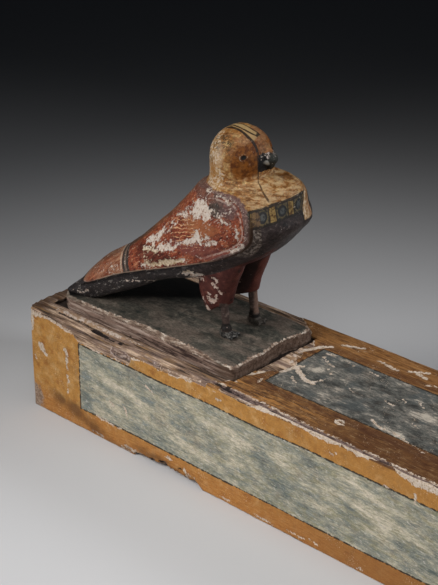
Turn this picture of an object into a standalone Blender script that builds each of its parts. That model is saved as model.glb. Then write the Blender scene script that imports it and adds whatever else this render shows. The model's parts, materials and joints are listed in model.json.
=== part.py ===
"""A painted wooden falcon on a plinth plate, let into the top of the long wooden base of a funerary figure.

Metres, +Z up. The origin is the middle of the base's underside. +X runs along the base, from the end that
carries the falcon to the rear. The falcon looks along the base, turned a little from it.
"""

import math

import bmesh
import bpy
from mathutils import Matrix, Vector

# The base: a solid block, with the size of its worn edges and of its breaks
BASE_LENGTH = 0.420
BASE_WIDTH = 0.110
BASE_HEIGHT = 0.0787
BASE_EDGE_WEAR = 0.0016
BASE_CORNER_WEAR = 0.0025
BREAK_START = 0.102
BREAK_LENGTH = 0.056
BREAK_HEIGHT = 0.0052
BREAK_DEPTH = 0.011
CHIP_START = 0.176
CHIP_LENGTH = 0.030
CHIP_HEIGHT = 0.0028
CHIP_DEPTH = 0.0065
BREAK_WAVES = ((5.0, 0.4, 0.12), (11.0, 1.7, 0.08), (19.0, 0.2, 0.05))
BREAK_MEAN = 0.78
BREAK_END_ROUNDNESS = 0.35
BREAK_END_DEPTH = 0.35
BREAK_STEPS = 14
CUT_PAST = 0.0003

# The plinth plate and the shallow seat that it lies in. One of its corners is worn away.
PLATE_LENGTH = 0.1615
PLATE_WIDTH = 0.076
PLATE_RISE = 0.0075
PLATE_FROM_END = 0.0135
PLATE_FROM_SIDE = 0.0145
PLATE_EDGE_WEAR = 0.0012
PLATE_CORNER = 0.003
PLATE_WORN_CORNER = 0.0135
PLATE_WAVE = 0.0007
PLATE_WAVES = ((7.3, 0.6), (19.0, 0.4))
PLATE_STEP = 0.0062
PLATE_CORNER_STEPS = 5
PLATE_CHIP_DEPTH = 0.0028
PLATE_CHIP_PLACE = 0.62
PLATE_CHIP_SPREAD = 0.16
SEAT_DEPTH = 0.003
SEAT_CLEARANCE = 0.0022
REST_GAP = 0.0003

# The falcon: everything on it is a share of its own height
FALCON_HEIGHT = 0.1367
FALCON_FROM_PLATE_END = 0.1247
FALCON_FROM_PLATE_SIDE = 0.0425
FALCON_TURN = math.radians(12.0)
WING_RELIEF = 0.0024
RING_POINTS = 36

# The falcon's body, cut level. Each row has the height, the back, the front, where the cut is widest, half its
# width there, and how square its front half and its back half are: 1 is an oval, less is squarer. The falcon's
# lengths are all in units of which it is CROWN_LEVEL tall. Forward is positive, from a point between the feet.
BODY_LEVELS = (
    (0.25, -91.8, -74.0, -82.0, 9.0, 0.40, 0.30),
    (1.6, -92.0, -70.5, -80.0, 9.4, 0.40, 0.35),
    (6.0, -84.6, -61.5, -73.0, 11.0, 0.40, 0.80),
    (14.0, -77.4, -45.0, -63.0, 13.8, 0.40, 0.95),
    (22.8, -67.9, -28.0, -51.0, 16.0, 0.42, 1.0),
    (29.0, -58.0, -5.0, -40.0, 17.8, 0.50, 1.0),
    (36.0, -49.0, 9.0, -27.0, 19.4, 0.65, 1.0),
    (42.0, -42.5, 18.8, -11.0, 20.6, 0.80, 1.0),
    (46.5, -37.8, 24.4, -3.0, 21.4, 0.85, 1.0),
    (53.0, -31.0, 30.4, 3.2, 22.0, 0.85, 1.0),
    (58.2, -26.2, 35.4, 6.0, 22.2, 0.85, 1.0),
    (61.5, -23.2, 36.0, 7.0, 22.0, 0.86, 1.0),
    (66.0, -19.4, 34.4, 7.0, 20.8, 0.88, 1.0),
    (70.4, -15.8, 33.6, 6.0, 18.8, 0.88, 1.0),
    (73.4, -12.8, 32.6, 4.6, 16.8, 0.88, 1.0),
    (75.9, -11.7, 30.6, 2.8, 15.0, 0.90, 1.0),
    (77.2, -11.6, 26.6, 2.4, 14.4, 0.95, 1.0),
    (77.8, -11.6, 19.0, 2.4, 14.2, 1.0, 1.0),
    (79.2, -11.6, 16.4, 2.4, 14.1, 1.0, 1.0),
    (85.0, -11.6, 16.4, 2.4, 14.1, 1.0, 1.0),
)
HEAD_RADIUS = 14.1
CROWN_LEVEL = BODY_LEVELS[-1][0] + HEAD_RADIUS
LEVELS_BETWEEN = 3
CROWN_RINGS = 6
CROWN_CLOSES = math.radians(88.0)

# The wings' edge, seen from the side, from the wing tips forward and up to the nape; the rest lies clear
# outside the back
WING_EDGE = (
    (-88.0, 4.6),
    (-80.0, 7.2),
    (-65.8, 14.9),
    (-50.8, 22.4),
    (-24.0, 32.2),
    (-12.0, 36.6),
    (1.6, 41.9),
    (12.3, 47.8),
    (17.6, 52.6),
    (19.3, 57.5),
    (18.7, 63.0),
    (16.4, 68.6),
    (11.5, 72.4),
    (4.0, 73.4),
    (-5.0, 72.8),
    (-16.0, 71.4),
)
WING_CLEAR = ((-24.0, 84.0), (-60.0, 60.0), (-88.6, 24.0))
WING_STEPS = 3

# Legs: for each side, how far to the left and forward the foot stands, and how much longer its thigh is behind
FEET = (("near", -10.2, 0.9, 0.0), ("far", 9.1, 4.7, 5.5))
THIGH_LEVELS = (
    (41.0, -13.0, 10.5, 6.2),
    (33.0, -14.4, 8.0, 6.4),
    (23.0, -14.4, 4.6, 5.8),
    (14.6, -11.2, 2.8, 3.9),
)
THIGH_HEM_SLOPE = 0.34
THIGH_INSET = 0.88
THIGH_POINTS = 20
SHANK_LINE = (
    (0.0, 0.0, 1.4),
    (1.6, 0.0, 1.5),
    (4.2, 0.0, 1.45),
    (5.6, 0.1, 1.05),
    (8.0, 0.3, 1.0),
    (27.0, 2.0, 1.15),
)
SHANK_RADIUS = 1.85
SHANK_POINTS = 12
TOE_LINE = ((0.12, 1.0), (0.57, 1.0), (0.87, 0.8), (1.0, 0.4))
TOE_LENGTH = 6.4
HIND_TOE_LENGTH = 3.8
TOE_RADIUS = 1.25
TOE_POINTS = 8
TOE_TURNS = (-35.0, -2.0, 29.0, 176.0)
BEAK_POINTS = 14
BEAK_LINE = ((11.0, 87.0, 4.2), (15.0, 86.6, 4.2), (17.6, 85.2, 3.2), (18.2, 83.0, 2.1), (17.2, 81.5, 1.1))

# Worked out from the sizes above
UNIT = FALCON_HEIGHT / CROWN_LEVEL
BASE_TOP = BASE_HEIGHT
PLATE_TOP = BASE_TOP + PLATE_RISE
PLATE_THICKNESS = PLATE_RISE + SEAT_DEPTH - REST_GAP
FRONT_END = -BASE_LENGTH / 2
NEAR_SIDE = -BASE_WIDTH / 2
PLATE_MIDDLE = Vector((FRONT_END + PLATE_FROM_END + PLATE_LENGTH / 2, NEAR_SIDE + PLATE_FROM_SIDE + PLATE_WIDTH / 2))


def clear_scene():
    for thing in list(bpy.data.objects):
        bpy.data.objects.remove(thing, do_unlink=True)


def paint(name, colour, roughness):
    material = bpy.data.materials.new(name)
    material.use_nodes = True
    surface = material.node_tree.nodes["Principled BSDF"]
    surface.inputs["Base Color"].default_value = (*colour, 1.0)
    surface.inputs["Roughness"].default_value = roughness
    surface.inputs["Metallic"].default_value = 0.0
    return material


def make_object(name, shape, material=None):
    """Turns a finished bmesh into a named object."""
    bmesh.ops.recalc_face_normals(shape, faces=shape.faces)
    mesh = bpy.data.meshes.new(name)
    shape.to_mesh(mesh)
    shape.free()
    thing = bpy.data.objects.new(name, mesh)
    bpy.context.scene.collection.objects.link(thing)
    if material:
        mesh.materials.append(material)
    return thing


def as_helper(thing):
    thing.hide_render = True
    thing.display_type = "WIRE"
    return thing


def combine(thing, other, operation):
    """Adds a Boolean modifier that joins, cuts or keeps what two solids share."""
    step = thing.modifiers.new(f"{operation.lower()}_{other.name}", "BOOLEAN")
    step.operation = operation
    step.solver = "EXACT"
    step.object = as_helper(other)


def loft(rings):
    """A closed solid through rings of points, each with the same number of points, capped at both ends."""
    shape = bmesh.new()
    loops = [[shape.verts.new(point) for point in ring] for ring in rings]
    for lower, upper in zip(loops, loops[1:]):
        for i in range(len(lower)):
            j = (i + 1) % len(lower)
            shape.faces.new((lower[i], lower[j], upper[j], upper[i]))
    shape.faces.new(reversed(loops[0]))
    shape.faces.new(loops[-1])
    return shape


def prism(outline, across, start, end):
    """A flat outline of (a, b) pairs drawn out along one axis. across is "y" or "z"."""
    place = {"y": lambda a, b, c: (a, c, b), "z": lambda a, b, c: (a, b, c)}[across]
    return loft([[place(a, b, c) for a, b in outline] for c in (start, end)])


def smooth_value(before, first, second, after, share):
    """A Catmull-Rom curve between first and second."""
    return 0.5 * (
        2 * first
        + (second - before) * share
        + (2 * before - 5 * first + 4 * second - after) * share**2
        + (3 * first - before - 3 * second + after) * share**3
    )


def smooth_rows(rows, steps):
    """The rows with steps - 1 more between each two, on smooth curves."""
    filled = []
    for i in range(len(rows) - 1):
        around = [rows[max(0, min(len(rows) - 1, i + k))] for k in (-1, 0, 1, 2)]
        for step in range(steps):
            filled.append(tuple(smooth_value(*values, step / steps) for values in zip(*around)))
    filled.append(rows[-1])
    return filled


def box(name, low, high, material=None):
    shape = bmesh.new()
    bmesh.ops.create_cube(shape, size=1.0)
    size = Vector(high) - Vector(low)
    middle = (Vector(high) + Vector(low)) / 2
    bmesh.ops.transform(shape, matrix=Matrix.Translation(middle) @ Matrix.Diagonal((*size, 1.0)), verts=shape.verts)
    return make_object(name, shape, material)


def jagged(share):
    """A rough edge between 0 and 1 along a break, closed to 0 at both ends."""
    rough = sum(size * math.sin(turns * math.pi * share + shift) for turns, shift, size in BREAK_WAVES)
    return math.sin(math.pi * share) ** BREAK_END_ROUNDNESS * (BREAK_MEAN + rough)


def broken_edge(name, start, length, height, depth, level, upwards):
    """A cutter for wood lost along the near edge of the base, above or below a level."""
    rings = []
    for step in range(BREAK_STEPS + 1):
        share = step / BREAK_STEPS
        x = FRONT_END + start + share * length
        reach = jagged(share)
        z = level + upwards * (height * reach + CUT_PAST)
        y = NEAR_SIDE + depth * (BREAK_END_DEPTH + (1.0 - BREAK_END_DEPTH) * reach)
        outer, beyond = NEAR_SIDE - height, level - upwards * height
        rings.append([(x, outer, z), (x, y, level), (x, y, beyond), (x, outer, beyond)])
    return make_object(name, loft(rings))


def make_base(material):
    """The block with worn edges, the plate's seat, and the two places where its near edge is broken."""
    base = box("base", (FRONT_END, NEAR_SIDE, 0.0), (-FRONT_END, -NEAR_SIDE, BASE_HEIGHT), material)
    shape = bmesh.new()
    shape.from_mesh(base.data)
    upright = [e for e in shape.edges if abs(e.verts[0].co.z - e.verts[1].co.z) > BASE_HEIGHT / 2]
    bmesh.ops.bevel(shape, geom=upright, offset=BASE_CORNER_WEAR, segments=3, profile=0.5, affect="EDGES")
    rims = [e for e in shape.edges if abs(e.verts[0].co.z - e.verts[1].co.z) < BASE_HEIGHT / 2]
    bmesh.ops.bevel(shape, geom=rims, offset=BASE_EDGE_WEAR, segments=2, profile=0.5, affect="EDGES")
    shape.to_mesh(base.data)
    shape.free()

    reach_x = PLATE_LENGTH / 2 + SEAT_CLEARANCE
    reach_y = PLATE_WIDTH / 2 + SEAT_CLEARANCE
    seat = box(
        "seat_cutter",
        (PLATE_MIDDLE.x - reach_x, PLATE_MIDDLE.y - reach_y, BASE_TOP - SEAT_DEPTH),
        (PLATE_MIDDLE.x + reach_x, PLATE_MIDDLE.y + reach_y, BASE_TOP + SEAT_DEPTH),
    )
    combine(base, seat, "DIFFERENCE")
    below = broken_edge("lower_break_cutter", BREAK_START, BREAK_LENGTH, BREAK_HEIGHT, BREAK_DEPTH, 0.0, 1.0)
    combine(base, below, "DIFFERENCE")
    above = broken_edge("upper_chip_cutter", CHIP_START, CHIP_LENGTH, CHIP_HEIGHT, CHIP_DEPTH, BASE_TOP, -1.0)
    combine(base, above, "DIFFERENCE")
    return base


def plate_outline():
    """The plate's worn outline, with rounded corners, a slow wave and a chip in its rear edge."""
    half_length, half_width = PLATE_LENGTH / 2, PLATE_WIDTH / 2
    corners = (
        (-half_length, -half_width, PLATE_WORN_CORNER),
        (half_length, -half_width, PLATE_CORNER),
        (half_length, half_width, PLATE_CORNER),
        (-half_length, half_width, PLATE_CORNER),
    )
    outline = []
    for side, (x, y, radius) in enumerate(corners):
        centre = Vector((x - math.copysign(radius, x), y - math.copysign(radius, y)))
        for step in range(PLATE_CORNER_STEPS + 1):
            angle = math.pi * (1.0 + side / 2) + math.pi / 2 * step / PLATE_CORNER_STEPS
            outline.append(centre + radius * Vector((math.cos(angle), math.sin(angle))))
        outward = Vector((math.cos(angle), math.sin(angle)))
        ahead = Vector((-outward.y, outward.x))
        after_x, after_y, after_radius = corners[(side + 1) % 4]
        start = outline[-1]
        length = (Vector((after_x, after_y)) - start).dot(ahead) - after_radius
        run_steps = round(length / PLATE_STEP)
        for step in range(1, run_steps):
            share = step / run_steps
            wave = sum(size * math.sin(turns * share + side) for turns, size in PLATE_WAVES)
            inset = PLATE_WAVE * (1.0 + wave) / 2 * math.sin(math.pi * share)
            if side == 1:
                inset += PLATE_CHIP_DEPTH * math.exp(-(((share - PLATE_CHIP_PLACE) / PLATE_CHIP_SPREAD) ** 4))
            outline.append(start + ahead * length * share - outward * inset)
    return outline


def make_plate(material):
    outline = [(PLATE_MIDDLE.x + p.x, PLATE_MIDDLE.y + p.y) for p in plate_outline()]
    shape = prism(outline, "z", PLATE_TOP - PLATE_THICKNESS, PLATE_TOP)
    rim = [e for e in shape.edges if all(v.co.z > PLATE_TOP - PLATE_THICKNESS / 2 for v in e.verts)]
    bmesh.ops.bevel(shape, geom=rim, offset=PLATE_EDGE_WEAR, segments=2, profile=0.5, affect="EDGES")
    return make_object("plinth_plate", shape, material)


def falcon_place():
    """Carries the falcon's own frame, with forward, left and up in its units, onto the plate."""
    foot = Vector(
        (
            PLATE_MIDDLE.x - PLATE_LENGTH / 2 + FALCON_FROM_PLATE_END,
            PLATE_MIDDLE.y - PLATE_WIDTH / 2 + FALCON_FROM_PLATE_SIDE,
            PLATE_TOP,
        )
    )
    turn = Matrix.Rotation(FALCON_TURN, 4, "Z")
    return Matrix.Translation(foot) @ turn @ Matrix.Diagonal((UNIT, UNIT, UNIT, 1.0))


def level_ring(level, back, front, widest, half_width, front_square, back_square, grow):
    """One level cut of the body, an oval with its own front and back, grown outwards by grow."""
    ring = []
    for i in range(RING_POINTS):
        angle = 2 * math.pi * i / RING_POINTS
        along, across = math.cos(angle), math.sin(angle)
        reach = (front - widest if along > 0 else widest - back) + grow
        power = front_square if along > 0 else back_square
        forward = widest + reach * math.copysign(abs(along) ** power, along)
        left = (half_width + grow) * math.copysign(abs(across) ** power, across)
        ring.append((forward, left, level))
    return ring


def body_rings(grow=0.0):
    rings = [level_ring(*row, grow) for row in smooth_rows(BODY_LEVELS, LEVELS_BETWEEN)]
    top_level, middle = BODY_LEVELS[-1][0], BODY_LEVELS[-1][3]
    for step in range(1, CROWN_RINGS + 1):
        lift = CROWN_CLOSES * step / CROWN_RINGS
        radius = HEAD_RADIUS * math.cos(lift)
        level = top_level + HEAD_RADIUS * math.sin(lift)
        rings.append(level_ring(level, middle - radius, middle + radius, middle, radius, 1.0, 1.0, grow))
    return rings


def carve(name, shape):
    """Moves a shape made in the falcon's own frame to its place."""
    bmesh.ops.transform(shape, matrix=falcon_place(), verts=shape.verts)
    return make_object(name, shape)


def tube(line, points, across):
    """A solid of round cuts along a line of (forward, left, up, radius), with across square to the line."""
    rings = []
    for i, row in enumerate(line):
        here = Vector(row[:3])
        ahead = Vector(line[min(i + 1, len(line) - 1)][:3])
        behind = Vector(line[max(i - 1, 0)][:3])
        third = (ahead - behind).normalized().cross(across)
        angles = [2 * math.pi * k / points for k in range(points)]
        rings.append([here + row[3] * (across * math.cos(a) + third * math.sin(a)) for a in angles])
    return loft(rings)


def make_wings():
    """The folded wings: the body grown by the depth of the relief, kept only behind the wings' edge."""
    grow = WING_RELIEF / UNIT
    shell = carve("wing_shell", loft(body_rings(grow)))
    edge = [tuple(point) for point in smooth_rows(WING_EDGE, WING_STEPS)]
    side = 2.5 * HEAD_RADIUS
    outline = carve("wing_outline", prism(edge + list(WING_CLEAR), "y", -side, side))
    combine(shell, outline, "INTERSECT")
    return shell


def make_thigh(name, out, forward, longer):
    """A feathered thigh, wide where it leaves the belly, with a slanting hem."""
    highest, lowest = THIGH_LEVELS[0][0], THIGH_LEVELS[-1][0]
    rings = []
    for level, back, front, half in smooth_rows(THIGH_LEVELS, LEVELS_BETWEEN):
        drop = (highest - level) / (highest - lowest)
        middle, reach = (back - longer + front) / 2, (front - back + longer) / 2
        ring = []
        for k in range(THIGH_POINTS):
            angle = 2 * math.pi * k / THIGH_POINTS
            along = reach * math.cos(angle)
            tilt = THIGH_HEM_SLOPE * along * drop
            ring.append((forward + middle + along, out * THIGH_INSET + half * math.sin(angle), level + tilt))
        rings.append(ring)
    return carve(name, loft(rings))


def make_leg(name, out, forward):
    """A shank with a thicker ankle and three toes in front and one behind, in one solid."""
    sideways = Vector((0.0, 1.0, 0.0))
    ground = REST_GAP / UNIT
    line = [(forward - lean, out, ground + level, SHANK_RADIUS * size) for level, lean, size in SHANK_LINE]
    shank = carve(name, tube(line, SHANK_POINTS, sideways))
    for count, turn in enumerate(TOE_TURNS):
        reach = TOE_LENGTH if abs(turn) < 90.0 else HIND_TOE_LENGTH
        aim = Vector((math.cos(math.radians(turn)), math.sin(math.radians(turn)), 0.0))
        start = Vector((forward, out, ground + TOE_RADIUS))
        line = [(*(start + aim * reach * share), TOE_RADIUS * size) for share, size in TOE_LINE]
        toe = carve(f"{name}_toe_{count}", tube(line, TOE_POINTS, aim.cross(Vector((0.0, 0.0, 1.0)))))
        combine(shank, toe, "UNION")
    return shank


def make_falcon(material):
    falcon = carve("falcon", loft(body_rings()))
    falcon.data.materials.append(material)
    combine(falcon, make_wings(), "UNION")
    for side, out, forward, longer in FEET:
        combine(falcon, make_thigh(f"{side}_thigh", out, forward, longer), "UNION")
        combine(falcon, make_leg(f"{side}_leg", out, forward), "UNION")
    beak_line = [(forward, 0.0, level, radius) for forward, level, radius in smooth_rows(BEAK_LINE, 2)]
    beak = carve("beak", tube(beak_line, BEAK_POINTS, Vector((0.0, 1.0, 0.0))))
    combine(falcon, beak, "UNION")
    return falcon


def main():
    clear_scene()
    make_base(paint("ochre_paint", (0.50, 0.28, 0.08), 0.75))
    make_plate(paint("dark_green_paint", (0.055, 0.060, 0.052), 0.7))
    falcon = make_falcon(paint("red_paint", (0.30, 0.075, 0.045), 0.7))
    falcon.data.shade_smooth()
    falcon.data.set_sharp_from_angle(angle=math.radians(35.0))


main()
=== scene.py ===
# %% [markdown]
# # A painted wooden falcon on the long base of a funerary figure
#
# The real object is three pieces of wood: a long block, a thin plate let into its top, and a falcon carved in
# one piece with its legs. All three were covered with a thin white ground and painted, and the paint has since
# worn, flaked and darkened. This lesson loads the plain solids, carves finer surfaces from them, paints them with
# node materials, and lights them like an object in a studio.

# %% Load the frame
import json
import math
from functools import reduce

import bpy
import numpy as np
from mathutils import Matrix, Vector

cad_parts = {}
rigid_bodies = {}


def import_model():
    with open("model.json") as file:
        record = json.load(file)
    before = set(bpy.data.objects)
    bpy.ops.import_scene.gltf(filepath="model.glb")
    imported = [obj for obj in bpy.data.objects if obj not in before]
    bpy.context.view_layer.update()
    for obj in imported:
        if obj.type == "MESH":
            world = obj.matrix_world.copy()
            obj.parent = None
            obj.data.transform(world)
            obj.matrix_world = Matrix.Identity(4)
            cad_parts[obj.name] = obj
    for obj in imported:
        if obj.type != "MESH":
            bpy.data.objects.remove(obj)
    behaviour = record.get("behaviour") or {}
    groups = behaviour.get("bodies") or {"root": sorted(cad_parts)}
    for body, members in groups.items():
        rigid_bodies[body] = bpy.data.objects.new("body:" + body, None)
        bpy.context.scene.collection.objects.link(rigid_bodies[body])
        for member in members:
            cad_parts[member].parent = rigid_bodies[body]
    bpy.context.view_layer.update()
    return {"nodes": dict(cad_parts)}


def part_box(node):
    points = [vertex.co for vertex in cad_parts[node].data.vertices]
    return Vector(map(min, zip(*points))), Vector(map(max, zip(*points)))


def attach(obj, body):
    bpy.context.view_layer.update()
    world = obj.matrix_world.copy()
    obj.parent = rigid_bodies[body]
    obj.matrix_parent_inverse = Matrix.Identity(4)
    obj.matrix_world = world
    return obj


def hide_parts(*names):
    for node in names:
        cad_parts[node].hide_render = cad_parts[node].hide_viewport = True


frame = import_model()

# %% [markdown]
# Every size is measured from the solids, so that the fine pieces sit where the plain ones do. The falcon has a
# frame of its own: forward, left and up from a point between its feet, in units of which it is about 99 tall.
# Painted details on the bird are placed in that frame, because it turns with the bird.

# %% Sizes
MM = 0.001
base_low, base_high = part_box("base")
plate_low, plate_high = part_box("plinth_plate")
falcon_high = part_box("falcon")[1]
SEAT_CLEARANCE = 0.0022
SEAT_DEPTH = 0.003
BIRD_FOOT = Vector((plate_low.x + 0.1247, plate_low.y + 0.0425, plate_high.z))
BIRD_TURN = math.radians(12.0)
BIRD_UNIT = (falcon_high.z - plate_high.z) / 99.1
print("base", [round(v / MM, 1) for v in base_high - base_low], "mm, bird unit", round(BIRD_UNIT / MM, 3), "mm")

# %% [markdown]
# ## The camera
# The camera stands where the picture was taken: a little above the object, off its rear near corner. The lens is
# long, so the block's parallel edges close in only a little.

# %% The camera
deselect = bpy.ops.object.select_all
deselect(action="DESELECT")
CAMERA_PLACE = (0.47296, -0.59406, 0.48664)
CAMERA_AZIMUTH = math.radians(43.19)
CAMERA_ELEVATION = math.radians(24.96)
bpy.ops.object.camera_add(
    location=CAMERA_PLACE, rotation=(math.pi / 2 - CAMERA_ELEVATION, 0.0, CAMERA_AZIMUTH)
)
camera = bpy.context.object
camera.name = "studio_camera"
camera.data.lens = 86.37
camera.data.sensor_width = 36.0
camera.data.clip_start = 0.01
bpy.context.scene.camera = camera
print("camera at", [round(v, 3) for v in camera.location])

# %% [markdown]
# ## The light
# A broad soft light from the left in front shows the near side, weaker ones from the right in front and from above
# fill the breast and the top, and one behind on the right draws the breast's edge. Their spread is narrowed, as a
# honeycomb grid does on a studio lamp, so the pale floor is bright round the object and falls away into the dark
# behind it.

# %% The light


def soft_light(name, place, aim, power, width, spread, colour):
    """A square area light at place that faces aim. spread is the full angle of its beam in degrees."""
    deselect(action="DESELECT")
    bpy.ops.object.light_add(type="AREA", location=place)
    light = bpy.context.object
    light.name = name
    light.data.energy = power
    light.data.size = width
    light.data.spread = math.radians(spread)
    light.data.color = colour
    light.rotation_euler = (Vector(aim) - Vector(place)).to_track_quat("-Z", "Y").to_euler()
    return light


soft_light("left_light", (-0.42, -0.92, 0.80), (0.0, -0.16, 0.0), 1.08, 0.50, 50.0, (1.0, 0.985, 0.96))
soft_light("front_light", (0.62, -0.80, 0.95), (0.08, -0.20, 0.0), 0.42, 0.50, 50.0, (1.0, 1.0, 0.99))
soft_light("top_light", (0.12, -0.12, 1.10), (0.08, -0.12, 0.0), 0.30, 0.60, 75.0, (1.0, 1.0, 1.0))
soft_light("edge_light", (0.70, 0.50, 0.55), (-0.05, 0.0, 0.12), 0.48, 0.30, 60.0, (0.96, 0.98, 1.0))
world = bpy.data.worlds.new("studio")
world.use_nodes = True
sky = world.node_tree.nodes["Background"].inputs
sky["Color"].default_value = (0.72, 0.80, 0.92, 1.0)
sky["Strength"].default_value = 0.010
bpy.context.scene.world = world
bpy.context.scene.view_settings.view_transform = "Standard"

# %% [markdown]
# ## Helpers for meshes
# The fine surfaces are carved in code, as with a sculpting brush: read all points, move them, write them back.
# The roughness comes from lattice noise, which gives the same lumps every time.

# %% Helpers for meshes
LATTICE = np.random.default_rng(11).uniform(-1.0, 1.0, 4096)


def lumps(points, size, seed=0):
    """Smooth noise from -1 to 1 whose lumps are about size apart. size is a number or three of them."""
    cell = points / np.asarray(size, dtype=float)
    low = np.floor(cell).astype(np.int64)
    part = cell - low
    part = part * part * (3.0 - 2.0 * part)
    total = np.zeros(len(points))
    for corner in np.ndindex(2, 2, 2):
        node = low + np.array(corner)
        key = (node[:, 0] * 73856093) ^ (node[:, 1] * 19349663) ^ (node[:, 2] * 83492791) ^ (seed * 7919)
        weight = np.prod(np.where(np.array(corner) == 1, part, 1.0 - part), axis=1)
        total += LATTICE[key % len(LATTICE)] * weight
    return total


def rough(points, size, seed=0, octaves=3):
    """Lumps with smaller lumps on them."""
    size = np.asarray(size, dtype=float)
    return sum(lumps(points, size / 2**k, seed + k) / 2**k for k in range(octaves))


def rise(value, low, high):
    """0 below low, 1 above high, and a smooth step between."""
    share = np.clip((value - low) / (high - low), 0.0, 1.0)
    return share * share * (3.0 - 2.0 * share)


def triples(items, name):
    """Three numbers from each item of a mesh, such as the place of a point or the direction of a normal."""
    flat = np.empty(len(items) * 3)
    items.foreach_get(name, flat)
    return flat.reshape(-1, 3)


def points_of(thing):
    """The points of a mesh in millimetres."""
    return triples(thing.data.vertices, "co") / MM


print("lattice noise from", len(LATTICE), "fixed values")

# %% [markdown]
# Marks are placed as oval spots, or as strokes of even width through given places. Both give a field: the distance
# in millimetres in from the nearest outline, negative outside. OFF is the value of a field well away from its marks.

# %% Spots and strokes
OFF = -3.0


def spots(a, b, rows):
    """How far each (a, b) lies inside the nearest oval spot, and as a negative number how far outside.

    A row has the middle, the half length, the half width, and the slope in degrees.
    """
    field = np.full(len(a), OFF)
    for mid_a, mid_b, long, wide, slope in rows:
        turn = math.radians(slope)
        along = (a - mid_a) * math.cos(turn) + (b - mid_b) * math.sin(turn)
        across = (b - mid_b) * math.cos(turn) - (a - mid_a) * math.sin(turn)
        field = np.maximum(field, (1.0 - np.hypot(along / long, across / wide)) * min(long, wide))
    return field


def line_distance(a, b, line):
    """The distance in the (a, b) plane to a line through the given places."""
    points = np.stack([a, b], axis=1)
    best = np.full(len(points), 1e9)
    line = np.asarray(line, dtype=float)
    for first, second in zip(line, line[1:]):
        run = second - first
        share = np.clip(((points - first) @ run) / (run @ run), 0.0, 1.0)
        best = np.minimum(best, np.hypot(*(points - first - share[:, None] * run).T))
    return best


def strokes(a, b, rows):
    """As spots, for strokes of even width. A row has the half width and then the places it passes through."""
    field = np.full(len(a), OFF)
    for half, *places in rows:
        field = np.maximum(field, half - line_distance(a, b, places))
    return field


def tears(points, size, amount, seed):
    """Two shifts for a pair of coordinates, so that a plain stroke gets a torn outline."""
    return [amount * rough(points, size, seed + k, 2) for k in (0, 9)]


def ridge(value, middle, width):
    """1 where value is at the middle, falling off to both sides like a bell."""
    return np.exp(-(((value - middle) / width) ** 2))


print("marks can be placed")

# %% [markdown]
# The rest is done by Blender's own operators, which work on one selected object. The last helper ends a carving: it
# writes the points back, stores fields at them for the materials to read by name, and shades the mesh smooth.

# %% Helpers for operators


def only(thing):
    """Makes one object the selected and active one."""
    deselect(action="DESELECT")
    thing.select_set(True)
    bpy.context.view_layer.objects.active = thing


def apply_modifier(thing, kind, **settings):
    only(thing)
    step = thing.modifiers.new(kind.lower(), kind)
    for name, value in settings.items():
        setattr(step, name, value)
    bpy.ops.object.modifier_apply(modifier=step.name)


def select_in_edit_mode(thing, kind, choose):
    """Selects the edges or faces that are True in choose, and leaves the object in edit mode."""
    only(thing)
    bpy.ops.object.mode_set(mode="EDIT")
    bpy.ops.mesh.select_mode(type=kind)
    bpy.ops.mesh.select_all(action="DESELECT")
    bpy.ops.object.mode_set(mode="OBJECT")
    elements = thing.data.edges if kind == "EDGE" else thing.data.polygons
    elements.foreach_set("select", choose)
    bpy.ops.object.mode_set(mode="EDIT")


def end_carving(thing, points, sharpest, **fields):
    """sharpest is the angle in degrees above which an edge stays sharp."""
    thing.data.vertices.foreach_set("co", (points * MM).ravel())
    thing.data.update()
    for name, values in fields.items():
        field = thing.data.attributes.new(name, "FLOAT", "POINT")
        field.data.foreach_set("value", np.asarray(values, dtype=np.float32))
    only(thing)
    bpy.ops.object.shade_smooth_by_angle(angle=math.radians(sharpest))


print("operator helpers ready")

# %% [markdown]
# ## The long base: the block
# The block is a plain box, so it starts as a cube scaled to size. It is cut where the plate's seat begins and
# ends, and where the finer half stops, and each stretch of its edges is then subdivided into even cells. The seat
# is the top's middle cell, extruded downwards.

# %% The block's cells
FINE_CELL = 1.1
COARSE_CELL = 3.4
FINE_END = 75.0
clearance = Vector((SEAT_CLEARANCE, SEAT_CLEARANCE, 0.0)) / MM
seat_low, seat_high = plate_low / MM - clearance, plate_high / MM + clearance
deselect(action="DESELECT")
bpy.ops.mesh.primitive_cube_add(
    size=1.0, location=(base_low + base_high) / 2, scale=base_high - base_low
)
block = bpy.context.object
block.name = "base_block"
bpy.ops.object.transform_apply(location=True, rotation=True, scale=True)
cuts = [(seat_low.x, 0), (seat_high.x, 0), (FINE_END, 0), (seat_low.y, 1), (seat_high.y, 1)]
bpy.ops.object.mode_set(mode="EDIT")
for place, axis in cuts:
    bpy.ops.mesh.select_all(action="SELECT")
    plane = [0.0, 0.0, 0.0]
    plane[axis] = 1.0
    bpy.ops.mesh.bisect(plane_co=[place * MM * v for v in plane], plane_no=plane)
bpy.ops.object.mode_set(mode="OBJECT")


def stretch_edges(thing, axis, low, high):
    """Marks the edges that run along one axis between two places."""
    points = points_of(thing)
    ends = np.empty(len(thing.data.edges) * 2, dtype=np.int64)
    thing.data.edges.foreach_get("vertices", ends)
    first, second = points[ends.reshape(-1, 2).T]
    along = np.abs(second - first)
    middle = (first + second)[:, axis] / 2
    return (along[:, axis] > along.sum(axis=1) * 0.99) & (middle > low) & (middle < high)


def cell_stretch(thing, axis, low, high, cell):
    number = max(1, round((high - low) / cell)) - 1
    if number:
        select_in_edit_mode(thing, "EDGE", stretch_edges(thing, axis, low, high))
        bpy.ops.mesh.subdivide(number_cuts=number)
        bpy.ops.object.mode_set(mode="OBJECT")


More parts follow.
